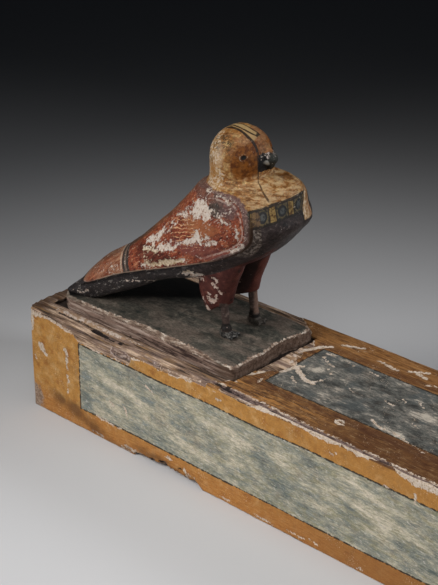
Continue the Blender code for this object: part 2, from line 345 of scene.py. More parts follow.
low, high = base_low / MM, base_high / MM
across_cuts = [low.y, seat_low.y, seat_high.y, high.y]
along_cuts = [low.x, seat_low.x, seat_high.x, FINE_END]
for start, end in zip(across_cuts, across_cuts[1:]):
    cell_stretch(block, 1, start, end, FINE_CELL)
cell_stretch(block, 2, low.z, high.z, FINE_CELL)
for start, end in zip(along_cuts, along_cuts[1:]):
    cell_stretch(block, 0, start, end, FINE_CELL)
cell_stretch(block, 0, FINE_END, high.x, COARSE_CELL)
print("block:", len(block.data.polygons), "faces")

# %% [markdown]
# The seat's faces are found by their middles and pushed down as one. The underside, which nobody sees, is dissolved
# back into a few big faces, but for a margin along its edges.

# %% The seat and the underside
UNDERSIDE_MARGIN = 16.0
middles = triples(block.data.polygons, "center") / MM
in_seat = (middles[:, 2] > high.z - 0.01) & (middles[:, 0] > seat_low.x) & (middles[:, 0] < seat_high.x)
in_seat &= (middles[:, 1] > seat_low.y) & (middles[:, 1] < seat_high.y)
select_in_edit_mode(block, "FACE", in_seat)
bpy.ops.mesh.extrude_region_move(TRANSFORM_OT_translate={"value": (0.0, 0.0, -SEAT_DEPTH)})
bpy.ops.object.mode_set(mode="OBJECT")
middles = triples(block.data.polygons, "center") / MM
inner = (np.abs(middles[:, 0]) < high.x - UNDERSIDE_MARGIN) & (np.abs(middles[:, 1]) < high.y - UNDERSIDE_MARGIN)
select_in_edit_mode(block, "FACE", inner & (middles[:, 2] < 0.01))
bpy.ops.mesh.dissolve_limited(angle_limit=0.01)
bpy.ops.object.mode_set(mode="OBJECT")
print("block with seat:", len(block.data.polygons), "faces")

# %% [markdown]
# ## The long base: wear
# Wood and paint have gone first from the edges. Each arris is rounded by a radius that wanders along it, most of
# all on the near upper edge beside the plate, where bare wood shows. Two breaks are cut as slanting surfaces
# across an edge.

# %% The block's wear
P = points_of(block)
x, y, z = P.T
near_top = rise(-y, 30.0, 45.0) * rise(z, 50.0, 70.0)
bare_end = (1.0 - rise(x, -60.0, -25.0)) * (0.45 + 0.55 * rise(x, -207.0, -190.0))
radius = 1.1 + 0.5 * lumps(P, 17.0, 3) + near_top * bare_end * (2.4 + 1.1 * lumps(P, (26.0, 60.0, 60.0), 5))
radius += 0.5 * lumps(P, 4.0, 9) * rise(20.0 - z, 0.0, 20.0)
radius = np.maximum(radius, 0.5)
inner = np.clip(P, np.array(low)[None] + radius[:, None], np.array(high)[None] - radius[:, None])
over = P - inner
reach = np.linalg.norm(over, axis=1)
scale = np.where(reach > radius, radius / np.maximum(reach, 1e-6), 1.0)
P = inner + over * scale[:, None]


def break_edge(points, start, length, height, depth, level, upwards, seed):
    """Projects the points in a broken corner of the near side onto its slanting surface, and marks them with 1."""
    share = np.clip((points[:, 0] - low.x - start) / length, 0.0, 1.0)
    ragged = np.sin(math.pi * share) ** 0.35 * (
        0.8 + 0.34 * lumps(points, 5.5, seed) + 0.22 * lumps(points, 2.0, seed)
    )
    tall = np.maximum(height * ragged, 1e-3)
    deep = np.maximum(depth * (0.35 + 0.65 * ragged) * (ragged > 0.02), 1e-3)
    inwards = points[:, 1] - low.y
    above = (points[:, 2] - level) * upwards
    lost = np.clip(1.0 - inwards / deep - above / tall, 0.0, None) * (ragged > 0.02)
    lost *= (inwards < deep) & (above < tall)
    size = 1.0 / deep**2 + 1.0 / tall**2
    points[:, 1] += lost / size / deep
    points[:, 2] += lost / size / tall * upwards
    return np.where(lost > 0.0, 1.0, 0.0)


broken = break_edge(P, start=100.0, length=62.0, height=5.6, depth=11.0, level=low.z, upwards=1.0, seed=21)
broken += break_edge(P, start=176.0, length=30.0, height=2.8, depth=6.5, level=high.z, upwards=-1.0, seed=22)
print("arris radius from", round(float(radius.min()), 2), "to", round(float(radius.max()), 2), "mm")

# %% [markdown]
# Fields say how much paint is left at each point. A field is the distance in millimetres to the line where one
# surface ends and another starts, so the material can draw a crisp torn edge there, and the carving can lower the
# surface on the same line. The two reaches say how far from the top and the near side a point still belongs to them.

# %% Where the block's wood is bare
TOP_REACH = 3.2
NEAR_REACH = 1.6
x, y, z = P.T
top_face = z > high.z - TOP_REACH
near_face = y < low.y + NEAR_REACH
paint_top = np.interp(
    x, (-210, -206, -200, -193, -184, -175, -166, -160, -113, -110, -101, -92, -84, -73, -61, -49, -37, -20, 210),
    (
        74.2, 73.2, 73.6, 72.8, 72.6, 70.6, 69.0, 65.2, 65.6, 72.4, 73.4, 72.9, 72.2, 73.2, 74.2, 75.6, 76.4, 78.6,
        80.5,
    ),
)
bare_near = z - paint_top + 0.6 * lumps(P, 5.0, 31)
border_start = np.interp(
    y, (-55, -50, -47, -44, -38, -30, -22, -12, 0, 12, 20, 27, 34, 55),
    (-44, -43, -38, -36, -35, -34, -32, -21, -20, -25, -30, -27, -33, -60),
)
bare_top = border_start - x + 1.5 * lumps(P, 6.0, 32)
bare_top = np.where(y > 36.0, np.maximum(bare_top, -150.0 - x), bare_top)
crack_line = np.interp(
    x, (-60, -33, -20, -4, 13, 29, 51, 73, 100, 210),
    (-51.0, -50.6, -50.5, -50.9, -52.0, -52.5, -52.8, -52.9, -53.3, -52.8),
)
crack_middle = y - crack_line - 0.4 * lumps(P, 9.0, 35)
crack_half = np.interp(x, (-60, -34, -10, 60, 210), (0.0, 1.7, 1.3, 1.0, 0.8)) + 0.35 * lumps(P, 6.0, 34)
in_crack = np.where(top_face, crack_half - np.abs(crack_middle), OFF)
bare_top = np.maximum(bare_top, in_crack)
bare = np.where(top_face, bare_top, OFF)
bare = np.where(~top_face & near_face, bare_near, bare)
bare = np.where(~top_face & (x < low.x + 1.5), z - 74.5 + 1.5 * lumps(P, 9.0, 33), bare)
in_seat = (z > high.z - SEAT_DEPTH / MM - 0.5) & (z < high.z - 1.0) & (np.abs(y) < 50.0) & (x > low.x + 4.0)
bare = np.where(in_seat | (z < 0.35) | (broken > 0.0), 3.0, bare)
bare = np.clip(bare, OFF, -OFF)
print("bare wood on", round(100 * float((bare > 0).mean())), "percent of the points")

# %% [markdown]
# The cream patches are the ground showing where only the paint has gone. The largest is a strip along the near upper
# edge. A thin line follows the split on the top, and white lines follow the edge of the bare wood.

# %% Where the block's ground shows
strip_foot = np.interp(
    x, (-24, -20, -8, 4, 9, 20, 33, 40, 56, 61, 66, 72, 78, 81, 95, 99, 104, 110, 118, 125, 134, 150, 210),
    (
        79.6, 76.8, 76.0, 76.5, 77.6, 77.8, 77.2, 76.2, 76.6, 78.6, 77.0, 75.6, 76.8, 79.6, 79.6, 76.8, 75.0, 73.6,
        73.2, 74.2, 75.6, 76.4, 75.4,
    ),
)
strip = np.where(near_face | top_face, z - strip_foot + 0.6 * lumps(P, 4.0, 36) + 0.5 * lumps(P, 1.9, 37), OFF)
strip = np.where(top_face & (y > crack_line - 0.4), OFF, strip)
inner_line = 0.40 + 0.40 * lumps(P, 7.0, 38) - np.abs(crack_middle - crack_half - 0.5)
inner_line = np.where(top_face & (x > -14.0), inner_line, OFF)
white_edge = strokes(
    x, z,
    (
        (0.45, (-84.5, 74.0), (-76.0, 74.6), (-66.0, 75.2), (-57.0, 76.4), (-49.0, 77.3)),
        (1.8, (-209.5, 71.6), (-204.0, 72.0), (-199.0, 72.9)),
        (0.8, (-199.0, 73.2), (-189.0, 72.9), (-179.0, 71.3), (-168.0, 69.8)),
    ),
)
print("ground shows from", round(float(strip_foot.min()), 1), "mm up the near side")

# %% [markdown]
# The other cream patches are short torn strokes along the grain, placed by millimetres along the block and up its
# near side, or along and across its top. A ledge in the bare wood keeps some ground too.

# %% The block's flakes
NEAR_STROKES = (
    (2.6, (-200.4, 49.8), (-198.6, 47.8)), (1.3, (-198.0, 46.6), (-195.6, 44.8), (-194.6, 44.2)),
    (0.8, (-119.0, 4.4), (-112.0, 3.6)), (0.9, (-108.0, 2.8), (-101.0, 2.4)), (1.2, (-63.5, 8.6), (-60.5, 3.4)),
    (0.7, (-113.0, 3.0), (-109.0, 2.2)), (0.8, (-99.4, 3.2), (-96.0, 1.8)), (1.2, (-174.6, 56.0), (-173.4, 52.0)),
    (0.9, (-173.4, 52.0), (-173.6, 45.0), (-173.0, 39.5)), (1.2, (-173.4, 36.0), (-173.0, 30.5)),
    (0.8, (-173.6, 27.4), (-173.6, 22.0)), (0.9, (-206.5, 40.0), (-205.0, 38.0)),
    (1.5, (-208.6, 71.5), (-207.6, 66.0), (-208.8, 60.0)), (0.8, (-146.0, 15.9), (-138.0, 15.2), (-130.0, 15.0)),
    (0.6, (-128.0, 14.6), (-122.0, 15.2)), (0.8, (-117.6, 33.0), (-115.6, 28.0)),
    (0.5, (-132.0, 32.0), (-126.5, 30.6)), (0.5, (-98.0, 56.5), (-93.7, 55.0), (-90.0, 52.6)),
    (0.8, (54.0, 70.0), (57.5, 70.8)), (0.5, (-35.0, 71.0), (-32.0, 71.4)), (0.5, (-108.0, 4.2), (-99.0, 4.0)),
    (0.6, (-60.0, 5.5), (-54.0, 5.8)), (0.5, (112.0, 68.5), (112.4, 62.5)), (0.4, (89.0, 65.4), (97.0, 64.4)),
    (0.5, (22.0, 3.6), (36.0, 3.0)), (0.9, (76.0, 3.2), (80.0, 2.8)), (0.5, (-4.0, 2.2), (12.0, 2.0)),
    (0.5, (-33.0, 3.2), (-24.0, 2.8)), (0.5, (40.0, 4.6), (46.0, 4.0)), (0.4, (-150.0, 3.0), (-140.0, 2.0)),
    (0.6, (-122.0, 1.8), (-113.0, 1.2)), (0.4, (-80.0, 11.2), (-74.0, 11.6)), (0.6, (130.0, 71.0), (136.0, 72.0)),
)
TOP_STROKES = (
    (1.1, (-14.5, 40.5), (-9.0, 43.0), (-2.0, 46.6)), (1.0, (14.5, 39.2), (22.0, 38.6), (31.0, 37.2)),
    (1.1, (36.5, 40.6), (42.0, 43.4), (47.5, 48.0)), (1.0, (43.0, 42.0), (50.0, 41.0)),
    (0.9, (54.5, 33.4), (60.0, 36.2)), (1.6, (-20.4, -12.0), (-18.6, -6.0), (-17.6, -0.5), (-15.0, 2.0)),
    (1.5, (-17.6, -2.5), (-11.5, -6.0), (-6.0, -9.4), (-1.0, -11.6)), (1.8, (-2.0, -11.0), (4.0, -11.6)),
    (0.9, (2.0, -11.0), (4.4, -5.0), (5.0, -1.0)), (0.9, (-12.0, -12.4), (-8.0, -16.0), (-4.0, -17.0)),
    (1.9, (-30.5, 14.0), (-27.0, 22.0), (-22.5, 30.5)), (1.3, (-28.5, 10.0), (-24.0, 1.5)),
    (1.0, (-33.0, -30.0), (-30.0, -24.0), (-27.0, -19.0)), (1.0, (-25.5, 24.0), (-20.5, 32.0), (-17.6, 35.0)),
    (0.7, (-13.0, 20.0), (-5.0, 15.0), (-1.0, 13.6)), (0.6, (-1.0, 9.0), (4.0, 5.0)),
    (0.6, (-15.0, 24.6), (-9.0, 25.6)), (0.6, (0.0, 26.0), (8.0, 23.5)), (0.7, (20.0, 24.5), (26.0, 24.0)),
    (0.6, (48.0, 2.0), (52.0, -0.5), (57.0, 1.0)), (0.6, (54.0, 11.0), (60.0, 7.0)),
    (0.9, (56.0, -22.0), (63.0, -24.5), (71.0, -26.0)), (0.7, (74.0, -24.5), (80.0, -26.5), (88.0, -28.5)),
    (0.7, (42.0, -35.6), (45.5, -34.6), (48.6, -36.4), (46.0, -38.0), (42.6, -37.4)),
    (0.5, (24.0, -1.0), (28.0, -3.6)), (0.9, (114.0, 15.0), (124.0, 12.0)), (0.9, (146.0, -21.0), (155.0, -19.0)),
    (1.1, (170.0, 40.4), (182.0, 39.4)), (0.5, (-36.0, -41.0), (-31.0, -41.4)), (0.7, (-22.0, -33.0), (-23.4, -27.0)),
    (0.6, (92.0, -29.0), (100.0, -31.0)), (0.5, (30.0, 8.0), (36.0, 5.0)), (0.5, (64.0, 14.0), (70.0, 10.0)),
    (0.6, (84.0, 20.0), (92.0, 18.0)), (0.5, (74.0, -8.0), (82.0, -11.0)),
)
tear_a, tear_b = tears(P, 4.4, 0.7, 101)
flakes = np.where(
    top_face, strokes(x + tear_a, y + tear_b, TOP_STROKES),
    np.where(near_face, strokes(x + tear_a, z + tear_b, NEAR_STROKES), OFF),
)
flakes += np.where(flakes > -2.0, 0.45 * lumps(P, 2.6, 108), 0.0)
ledge_line = np.interp(x, (-195, -185, -162, -137, -112, -104), (-47.0, -47.6, -46.6, -47.2, -45.8, -45.2))
ledge_half = np.interp(x, (-196, -185, -150, -120, -104), (0.8, 2.0, 1.6, 1.2, 0.0)) + 0.4 * lumps(P, 8.0, 40)
ledge = ledge_half - np.abs(y - ledge_line - 0.5 * lumps(P, 11.0, 41))
ledge = np.where(top_face & (x > -190.0) & (x < -103.0), ledge, OFF)
white_edge = np.where(near_face, white_edge, OFF)
gesso = np.clip(np.maximum.reduce([flakes, strip, inner_line, white_edge, ledge * 0.8]), OFF, -OFF)
print("strokes:", len(NEAR_STROKES), "on the near side,", len(TOP_STROKES), "on the top")

# %% [markdown]
# Knots are dark pits in the bare strip, and in the broken lower edge there are small hollows. The grain runs in rings
# round two whorls. The dark patches, partly painted shade under the broken edge, and the tint of the painted panels
# are soft fields.

# %% Knots, stains and tints
PITS = (
    (2.0, (-148.5, -51.0), (-142.0, -51.6)), (1.5, (-139.0, -52.0), (-134.5, -52.6)),
    (0.9, (-131.0, -53.0), (-128.6, -53.0)), (0.9, (-123.6, -52.6), (-121.4, -52.4)),
    (1.0, (-40.5, -50.6), (-37.0, -49.8)), (1.6, (-197.2, -40.0), (-197.8, -34.0)),
    (0.8, (-32.0, -49.0), (-29.5, -48.6)), (0.5, (-186.0, -49.4), (-160.0, -49.0), (-150.0, -49.8)),
    (0.35, (-120.0, -50.6), (-96.0, -49.4), (-70.0, -48.6)), (0.3, (-190.0, -44.8), (-160.0, -44.4)),
)
knots = np.where(top_face | ((z > high.z - 6.0) & near_face), strokes(x, y, PITS), OFF)
HOLLOWS = (
    (1.2, (-108.0, 1.2), (-104.0, 1.8), (-101.0, 1.2)), (0.8, (-95.0, 3.6), (-91.0, 4.2)),
    (0.9, (-86.0, 5.2), (-79.0, 5.8)), (0.6, (-69.0, 7.0), (-65.0, 7.8)),
)
knots = np.where(near_face & (z < 10.0), strokes(x + tear_a, z + tear_b, HOLLOWS), knots)
height = z + 0.5 * (y - low.y) * top_face
WHORLS = ((-122.0, 70.4, 9.5, 4.2), (-87.5, 76.0, 4.6, 2.4))
whorl = np.minimum(*[np.hypot((x - a) / long, (height - b) / wide) for a, b, long, wide in WHORLS])
whorl = np.where(near_face | top_face, whorl + 0.20 * lumps(P, 5.0, 46), 9.0)
# Dark patches on the near side: a brown smudge falling from the left end, and thin dark lines along the lower edge by
# the break, painted shade under its undercut. The top's left end is darkened too.
DARK_PATCHES = (
    (-182.0, 15.0, 9.0, 4.0, -12.0), (-166.0, 11.5, 12.0, 4.6, -18.0), (-149.0, 6.0, 12.0, 4.0, -14.0),
    (-125.0, 2.0, 16.0, 1.4, 0.0), (-92.0, 6.5, 13.0, 2.6, 0.0), (-70.0, 5.0, 10.0, 1.4, 0.0),
)
stain = np.where(near_face, spots(x, z, DARK_PATCHES), OFF)
stain = np.where(top_face & (x < -198.0), -1.0, stain)
worn_corner = np.where(near_face, 7.0 - np.hypot((x - low.x) * 0.75, (z - 8.0) * 0.62), OFF)
TEALS = (
    (-142.0, 58.0, 24.0, 8.0, -4.0), (-154.0, 32.0, 8.0, 20.0, 0.0), (40.0, 55.5, 16.0, 4.5, 0.0),
    (13.0, 36.0, 24.0, 10.0, -28.0), (-92.0, 58.0, 36.0, 5.0, -4.0), (-100.0, 21.0, 34.0, 5.0, 0.0),
    (-62.0, 42.0, 14.0, 4.0, -12.0), (60.0, 22.0, 46.0, 5.0, -4.0), (128.0, 30.0, 34.0, 9.0, -8.0),
    (30.0, 25.0, 12.0, 5.0, 0.0),
)
CREAMS = (
    (-133.0, 47.0, 16.0, 6.0, -10.0), (-106.0, 42.0, 24.0, 6.0, -12.0), (-30.0, 51.0, 34.0, 8.0, -8.0),
    (75.0, 56.0, 30.0, 6.0, -8.0), (92.0, 42.0, 36.0, 8.0, -10.0), (-128.0, 28.0, 12.0, 5.0, -30.0),
    (-60.0, 28.0, 26.0, 6.0, -10.0), (-152.0, 50.0, 4.0, 8.0, 20.0), (150.0, 50.0, 20.0, 7.0, 0.0),
    (20.0, 48.0, 16.0, 6.0, -10.0),
)
tint = np.clip(spots(x, z, TEALS) / 4.0, 0, 1) - np.clip(spots(x, z, CREAMS) / 4.0, 0, 1)
HAZE = (
    (72.0, -26.0, 18.0, 7.0, -10.0), (76.0, 2.0, 16.0, 7.0, 0.0), (120.0, 10.0, 26.0, 9.0, 0.0),
    (-6.0, 4.0, 6.0, 5.0, 30.0),
)
haze = 0.3 * lumps(P, 40.0, 45) - 1.4 * np.clip(spots(x, y, HAZE) / 4.0, 0, 1)
tint = np.where(y < -50.0, tint, haze)
print("knots and splits:", len(PITS), "stains:", len(DARK_PATCHES))

# %% [markdown]
# Last the surface itself is carved: bare wood lies under the paint by the thickness of the paint and its ground,
# with the grain standing out along the block, and the cream flakes lie a little lower than the paint.

# %% Carving the block
grain = rough(P, (38.0, 1.9, 1.9), 51, 2)
rings = rough(P, (60.0, 4.5, 4.5), 55, 2)
wood_depth = rise(bare, -0.1, 0.5) * (0.75 + 0.40 * grain + 0.45 * rings)
wood_depth += 0.16 * np.cos(whorl * 14.0) * (1.0 - rise(whorl, 0.8, 1.1)) * rise(bare, -0.1, 0.5)
wood_depth += np.where(top_face & (x < -100.0) & (y < ledge_line - 1.0), 0.6, 0.0) * rise(bare, 0.0, 0.6)
wood_depth -= 1.0 * rise(ledge, -0.3, 0.8) * rise(bare, -0.1, 0.5)
depth = np.maximum(wood_depth, 0.32 * rise(gesso, -0.1, 0.5))
depth += 0.9 * rise(in_crack, 0.0, 0.8) + 1.6 * rise(knots, -0.1, 0.9)
depth += (0.10 * lumps(P, 13.0, 57) + 0.07 * lumps(P, 4.0, 58)) * (z > 1.0)
normal = np.zeros_like(P)
normal[:, 2] = rise(z, high.z - 3.0, high.z - 0.8) - (z < 0.4)
normal[:, 1] = np.where(np.abs(y) > high.y - TOP_REACH, np.sign(y), 0.0) * (
    1.0 - np.abs(normal[:, 2]) * (np.abs(y) < high.y - 1.0)
)
normal[:, 0] = np.where(np.abs(x) > high.x - TOP_REACH, np.sign(x), 0.0) * (
    1.0 - np.abs(normal[:, 2]) * (np.abs(x) < high.x - 1.0)
)
size = np.linalg.norm(normal, axis=1)
normal /= np.maximum(size, 1.0)[:, None]
depth = np.where((z < 0.6) | (in_seat & (size < 0.5)), 0.0, depth)
P -= normal * depth[:, None]
P[:, 2] = np.maximum(P[:, 2], 0.0)
# The dark field marks the knot pits and the split's middle, and paints shade into the seat round the plate.
dark = np.clip(np.where(in_seat, -OFF, np.maximum(knots * 2.0, in_crack - 0.95)), OFF, -OFF)
end_carving(
    block, P, 40.0, bare=bare, gesso=gesso, stain=stain, tint=tint, dark=dark, worn=worn_corner, whorl=whorl,
    crack=in_crack,
)
print("deepest carving", round(float(depth.max()), 2), "mm")

# %% [markdown]
# ## The plinth plate
# The plate is sawn from thin board and painted dark. Its solid already has the worn outline, so the fine piece
# starts as a copy of it. A voxel remesh gives even cells that can be carved: the rim is ragged, and the near side
# shows rough wood with ledges along the grain.

# %% The plate's cells


def fine_copy(node, name, cell, smoothing):
    """A copy of a solid with its points joined, remade in even cells and lightly smoothed."""
    source = frame["nodes"][node]
    copy = bpy.data.objects.new(name, source.data.copy())
    bpy.context.scene.collection.objects.link(copy)
    only(copy)
    bpy.ops.object.mode_set(mode="EDIT")
    bpy.ops.mesh.select_all(action="SELECT")
    bpy.ops.mesh.remove_doubles(threshold=0.00001)
    bpy.ops.object.mode_set(mode="OBJECT")
    apply_modifier(copy, "REMESH", mode="VOXEL", voxel_size=cell * MM, adaptivity=0.0)
    apply_modifier(copy, "SMOOTH", factor=0.5, iterations=smoothing)
    return copy


board = fine_copy("plinth_plate", "plinth_board", 1.0, 2)
print("board:", len(board.data.polygons), "faces")

# %% [markdown]
# The distance to the outline is measured from the rim of the solid itself, whose points are put in order by their
# angle round the middle. Along the near and the rear edge the paint has broken away, which leaves a pale line of
# ground and then wood.

# %% The plate's wear
rim = points_of(frame["nodes"]["plinth_plate"])
rim = np.unique(np.round(rim[rim[:, 2] < plate_low.z / MM + 0.5][:, :2], 2), axis=0)
centre = rim.mean(axis=0)
rim = rim[np.argsort(np.arctan2(*((rim - centre) * (1.0, 2.0)).T[::-1]))]
P = points_of(board)
x, y, z = P.T
plate_top = plate_high.z / MM
inside = line_distance(x, y, np.vstack([rim, rim[:1]]))
near_rim = rise(-y, 24.0, 34.0) * (1.0 - rise(x, -58.0, -44.0))
rear_rim = rise(x, -50.0, -40.0)
left_rim = rise(-x, 176.0, 186.0)
near_width = np.interp(
    x, (-200, -175, -150, -130, -118, -95, -75, -62, -50), (1.0, 1.1, 1.5, 2.2, 4.2, 4.6, 3.4, 1.6, 1.0)
)
lost_width = 0.3 + near_rim * (near_width + 1.0 * lumps(P, 9.0, 61) + 0.9 * lumps(P, 3.0, 62))
lost_width += rear_rim * (1.7 + 1.8 * lumps(P, 7.0, 63) + 0.7 * lumps(P, 3.0, 59)) + 0.3 * lumps(P, 2.2, 64)
lost_width += left_rim * (0.5 + 0.8 * lumps(P, 6.0, 60))
deeper = 2.0 + (plate_top - 0.9 - z) * np.interp(x, (-175.0, -150.0, -125.0), (0.5, 0.3, 0.6))
rim_loss = np.clip(np.where(z > plate_top - 0.9, np.minimum(lost_width - inside, 2.0), deeper), -3.0, 5.0)
N = triples(board.data.vertex_normals, "vector")
sideways = rise(1.0 - np.abs(N[:, 2]), 0.3, 0.7)
saw = rough(P, (26.0, 26.0, 1.5), 65, 2)
depth = sideways * (0.35 + 0.5 * saw + 0.3 * lumps(P, (6.0, 6.0, 1.2), 66))
crumble = 0.75 + 0.5 * lumps(P, 3.0, 69) + 0.3 * lumps(P, 1.5, 70)
depth += (1.0 - sideways) * (crumble * rise(rim_loss, -0.2, 0.7) + 0.12 * lumps(P, 12.0, 67)) * (z > plate_top - 2.0)
depth += 0.05 * rough(P, (9.0, 1.3, 1.3), 68, 2)
depth = np.clip(depth, -0.15, 1.6)
P -= N * depth[:, None]
end_carving(board, P, 50.0, bare=rim_loss, near=np.maximum(near_rim, 0.6 * left_rim))
print("board rim has", len(rim), "points")

# %% [markdown]
# ## The falcon: the carving
# The bird too starts from its solid, remade in cells of under a millimetre. On it the carver's small forms are
# raised: the rounded rim round each wing with a groove inside it, a raised ring round the sunk eye, and the lines
# between the long feathers.

# %% The falcon's cells
carving = fine_copy("falcon", "falcon_carving", 0.85, 2)
print("carving:", len(carving.data.polygons), "faces")

# %% [markdown]
# The wing's rim is the line that the solid was cut with, seen from the side. The signed distance to it, positive
# on the wing, places the rim, the groove and the wing's paint.

# %% The bird's own frame and the wing's edge
WING_EDGE = (
    (-80.0, 9.0), (-75.0, 10.4), (-65.8, 14.9), (-50.8, 22.4), (-24.0, 32.2), (-12.0, 36.6), (1.6, 41.9),
    (12.3, 47.8), (17.6, 52.6), (19.3, 57.5), (18.7, 63.0), (16.4, 68.6), (11.5, 72.4), (4.0, 73.4), (-5.0, 72.8),
    (-16.0, 71.4),
)
WING_CLEAR = ((-24.0, 84.0), (-60.0, 60.0), (-81.0, 24.0))


def to_bird(points):
    """Millimetres in the row frame to forward, left and up in the bird's units."""
    moved = (points - np.array(BIRD_FOOT)[None] / MM) / (BIRD_UNIT / MM)
    cos, sin = math.cos(BIRD_TURN), math.sin(BIRD_TURN)
    return np.stack([moved[:, 0] * cos + moved[:, 1] * sin, moved[:, 1] * cos - moved[:, 0] * sin, moved[:, 2]])


def smooth_line(points, steps=4):
    """The points of a Catmull-Rom curve through the given ones."""
    rows = np.array(points, dtype=float)
    padded = np.vstack([rows[:1], rows, rows[-1:]])
    share = np.arange(steps)[:, None] / steps
    parts = []
    for a, b, c, d in zip(padded, padded[1:], padded[2:], padded[3:]):
        square, cube = 2 * a - 5 * b + 4 * c - d, 3 * b - a - 3 * c + d
        parts.append(0.5 * (2 * b + (c - a) * share + square * share**2 + cube * share**3))
    return np.vstack(parts + [rows[-1:]])


def is_inside(a, b, outline):
    """Whether each (a, b) lies in a closed outline, by counting the sides that a ray crosses."""
    crossings = np.zeros(len(a), dtype=int)
    for (a0, b0), (a1, b1) in zip(outline, np.roll(outline, -1, axis=0)):
        spans = (b0 > b) != (b1 > b)
        meets = a0 + (b - b0) * (a1 - a0) / (b1 - b0 if b1 != b0 else 1e-9)
        crossings += spans & (a < meets)
    return crossings % 2 == 1


wing_edge = smooth_line(WING_EDGE)
P = points_of(carving)
forward, left, up = to_bird(P)
wing = line_distance(forward, up, wing_edge)
wing = np.where(is_inside(forward, up, np.vstack([wing_edge, WING_CLEAR])), wing, -wing)
print("wing covers", round(100 * float((wing > 0).mean())), "percent of the carving")

# %% [markdown]
# The legs need fields of their own. Below the belly everything is leg; close round a shank's middle line, which
# rises from the middle of its foot, it is shank, and the rest is thigh.

# %% The legs' fields
FEET = ((0.9, -10.2), (4.7, 9.1))
belly = np.interp(
    forward, (-92, -74, -61.5, -45, -28, -5, 9, 18.8, 24.4), (-9, -9, 6.0, 14.0, 22.8, 29.0, 36.0, 42.0, 46.5)
)
leg = np.minimum(belly - 1.0 + 3.4 * rise(forward, -15.0, -10.0) * (up > 20.0) - up, forward + 24.0)
shank = np.full(len(P), -9.0)
for foot_forward, foot_left in FEET:
    off_line = np.hypot(forward - foot_forward + np.clip(up, 0, 27) * 0.07, left - foot_left)
    shank = np.maximum(shank, np.where(up < 4.5, 8.0 - off_line, 2.9 - off_line))
shank = np.minimum(shank, 17.5 - up)
print("leg points", int((leg > 0).sum()), "shank points", int(((leg > 0) & (shank > 0)).sum()))

# %% [markdown]
# Flakes are placed where the paint has gone, as strokes on the near side in forward and up. The far side, which
# the picture does not show, has a few of its own.

# %% The falcon's losses
NEAR_LOSSES = (
    (2.3, (-9.5, 63.2), (-6.0, 65.0), (-3.6, 65.6)), (1.5, (-8.6, 66.6), (-6.4, 67.6)),
    (1.5, (-4.0, 64.0), (-2.0, 61.6)), (1.0, (-9.2, 60.6), (-6.0, 61.8)), (0.9, (0.2, 62.8), (-1.6, 64.4)),
    (0.7, (1.0, 66.0), (-1.0, 65.0)), (0.7, (-12.6, 62.0), (-14.2, 61.4)), (0.6, (-25.2, 50.2), (-23.8, 52.4)),
    (0.5, (-22.4, 52.0), (-20.6, 54.4)), (0.4, (-22.5, 57.0), (-19.0, 57.8), (-16.4, 59.4)),
    (0.6, (-15.0, 59.6), (-13.0, 61.2)), (0.35, (-27.0, 49.0), (-24.5, 49.4)),
    (1.0, (-39.4, 40.0), (-36.4, 42.0), (-33.8, 43.4)), (1.0, (-33.8, 43.4), (-31.4, 45.8), (-29.4, 48.4)),
    (0.6, (-34.0, 41.4), (-33.0, 40.4)), (0.8, (-39.2, 37.2), (-34.0, 38.9), (-30.6, 39.6)),
    (1.2, (-29.0, 40.9), (-26.0, 42.2), (-22.6, 43.2)), (0.9, (-22.0, 42.4), (-18.8, 44.4)),
    (0.8, (-17.6, 45.8), (-13.4, 47.6)), (1.3, (-12.4, 48.2), (-9.0, 49.8), (-6.8, 51.4)),
    (1.1, (-7.0, 54.0), (-5.8, 50.4)), (0.7, (-5.0, 49.6), (-1.6, 50.4)), (0.8, (-0.6, 50.6), (2.6, 52.0)),
    (0.5, (-3.6, 52.4), (-1.0, 53.0)), (0.9, (-38.0, 30.6), (-32.4, 32.6), (-28.4, 33.8)),
    (1.3, (-28.0, 34.0), (-23.0, 35.8), (-19.6, 36.8)), (0.8, (-19.4, 37.0), (-14.0, 39.0)),
    (0.5, (-37.5, 34.8), (-38.4, 36.2)), (0.7, (10.4, 49.0), (13.6, 50.7), (16.2, 52.3)),
    (0.4, (1.2, 72.2), (4.0, 71.9), (6.5, 71.2), (9.5, 70.2)), (0.5, (-4.6, 72.0), (-3.4, 72.8)),
    (0.4, (4.8, 64.8), (5.4, 63.6)), (0.4, (6.6, 63.0), (8.8, 62.0)), (0.35, (10.4, 62.0), (11.4, 60.6)),
    (1.3, (-16.8, 30.5), (-13.8, 31.4), (-12.6, 29.8)), (1.0, (-11.4, 30.4), (-8.8, 31.0)),
    (0.8, (-15.0, 28.2), (-11.0, 27.6), (-9.5, 28.0)), (0.8, (-2.4, 30.6), (-1.2, 28.8)),
    (0.6, (-3.0, 27.6), (-1.6, 25.8)), (0.5, (-0.8, 23.8), (0.0, 23.0)),
    (0.8, (-6.2, 18.2), (-4.0, 18.0), (-2.4, 19.4), (-1.8, 21.4)), (0.45, (-6.8, 22.2), (-6.2, 20.8)),
    (0.45, (-10.0, 18.6), (-9.6, 17.0)), (0.7, (-8.6, 15.0), (-6.8, 13.8)),
    (0.3, (-52.5, 17.0), (-47.0, 18.7), (-43.2, 19.3)), (0.3, (-40.0, 20.2), (-35.1, 21.4)),
    (0.3, (-84.0, 1.8), (-77.0, 4.4)), (0.45, (13.2, 61.4), (14.0, 58.6), (13.6, 55.4)),
)
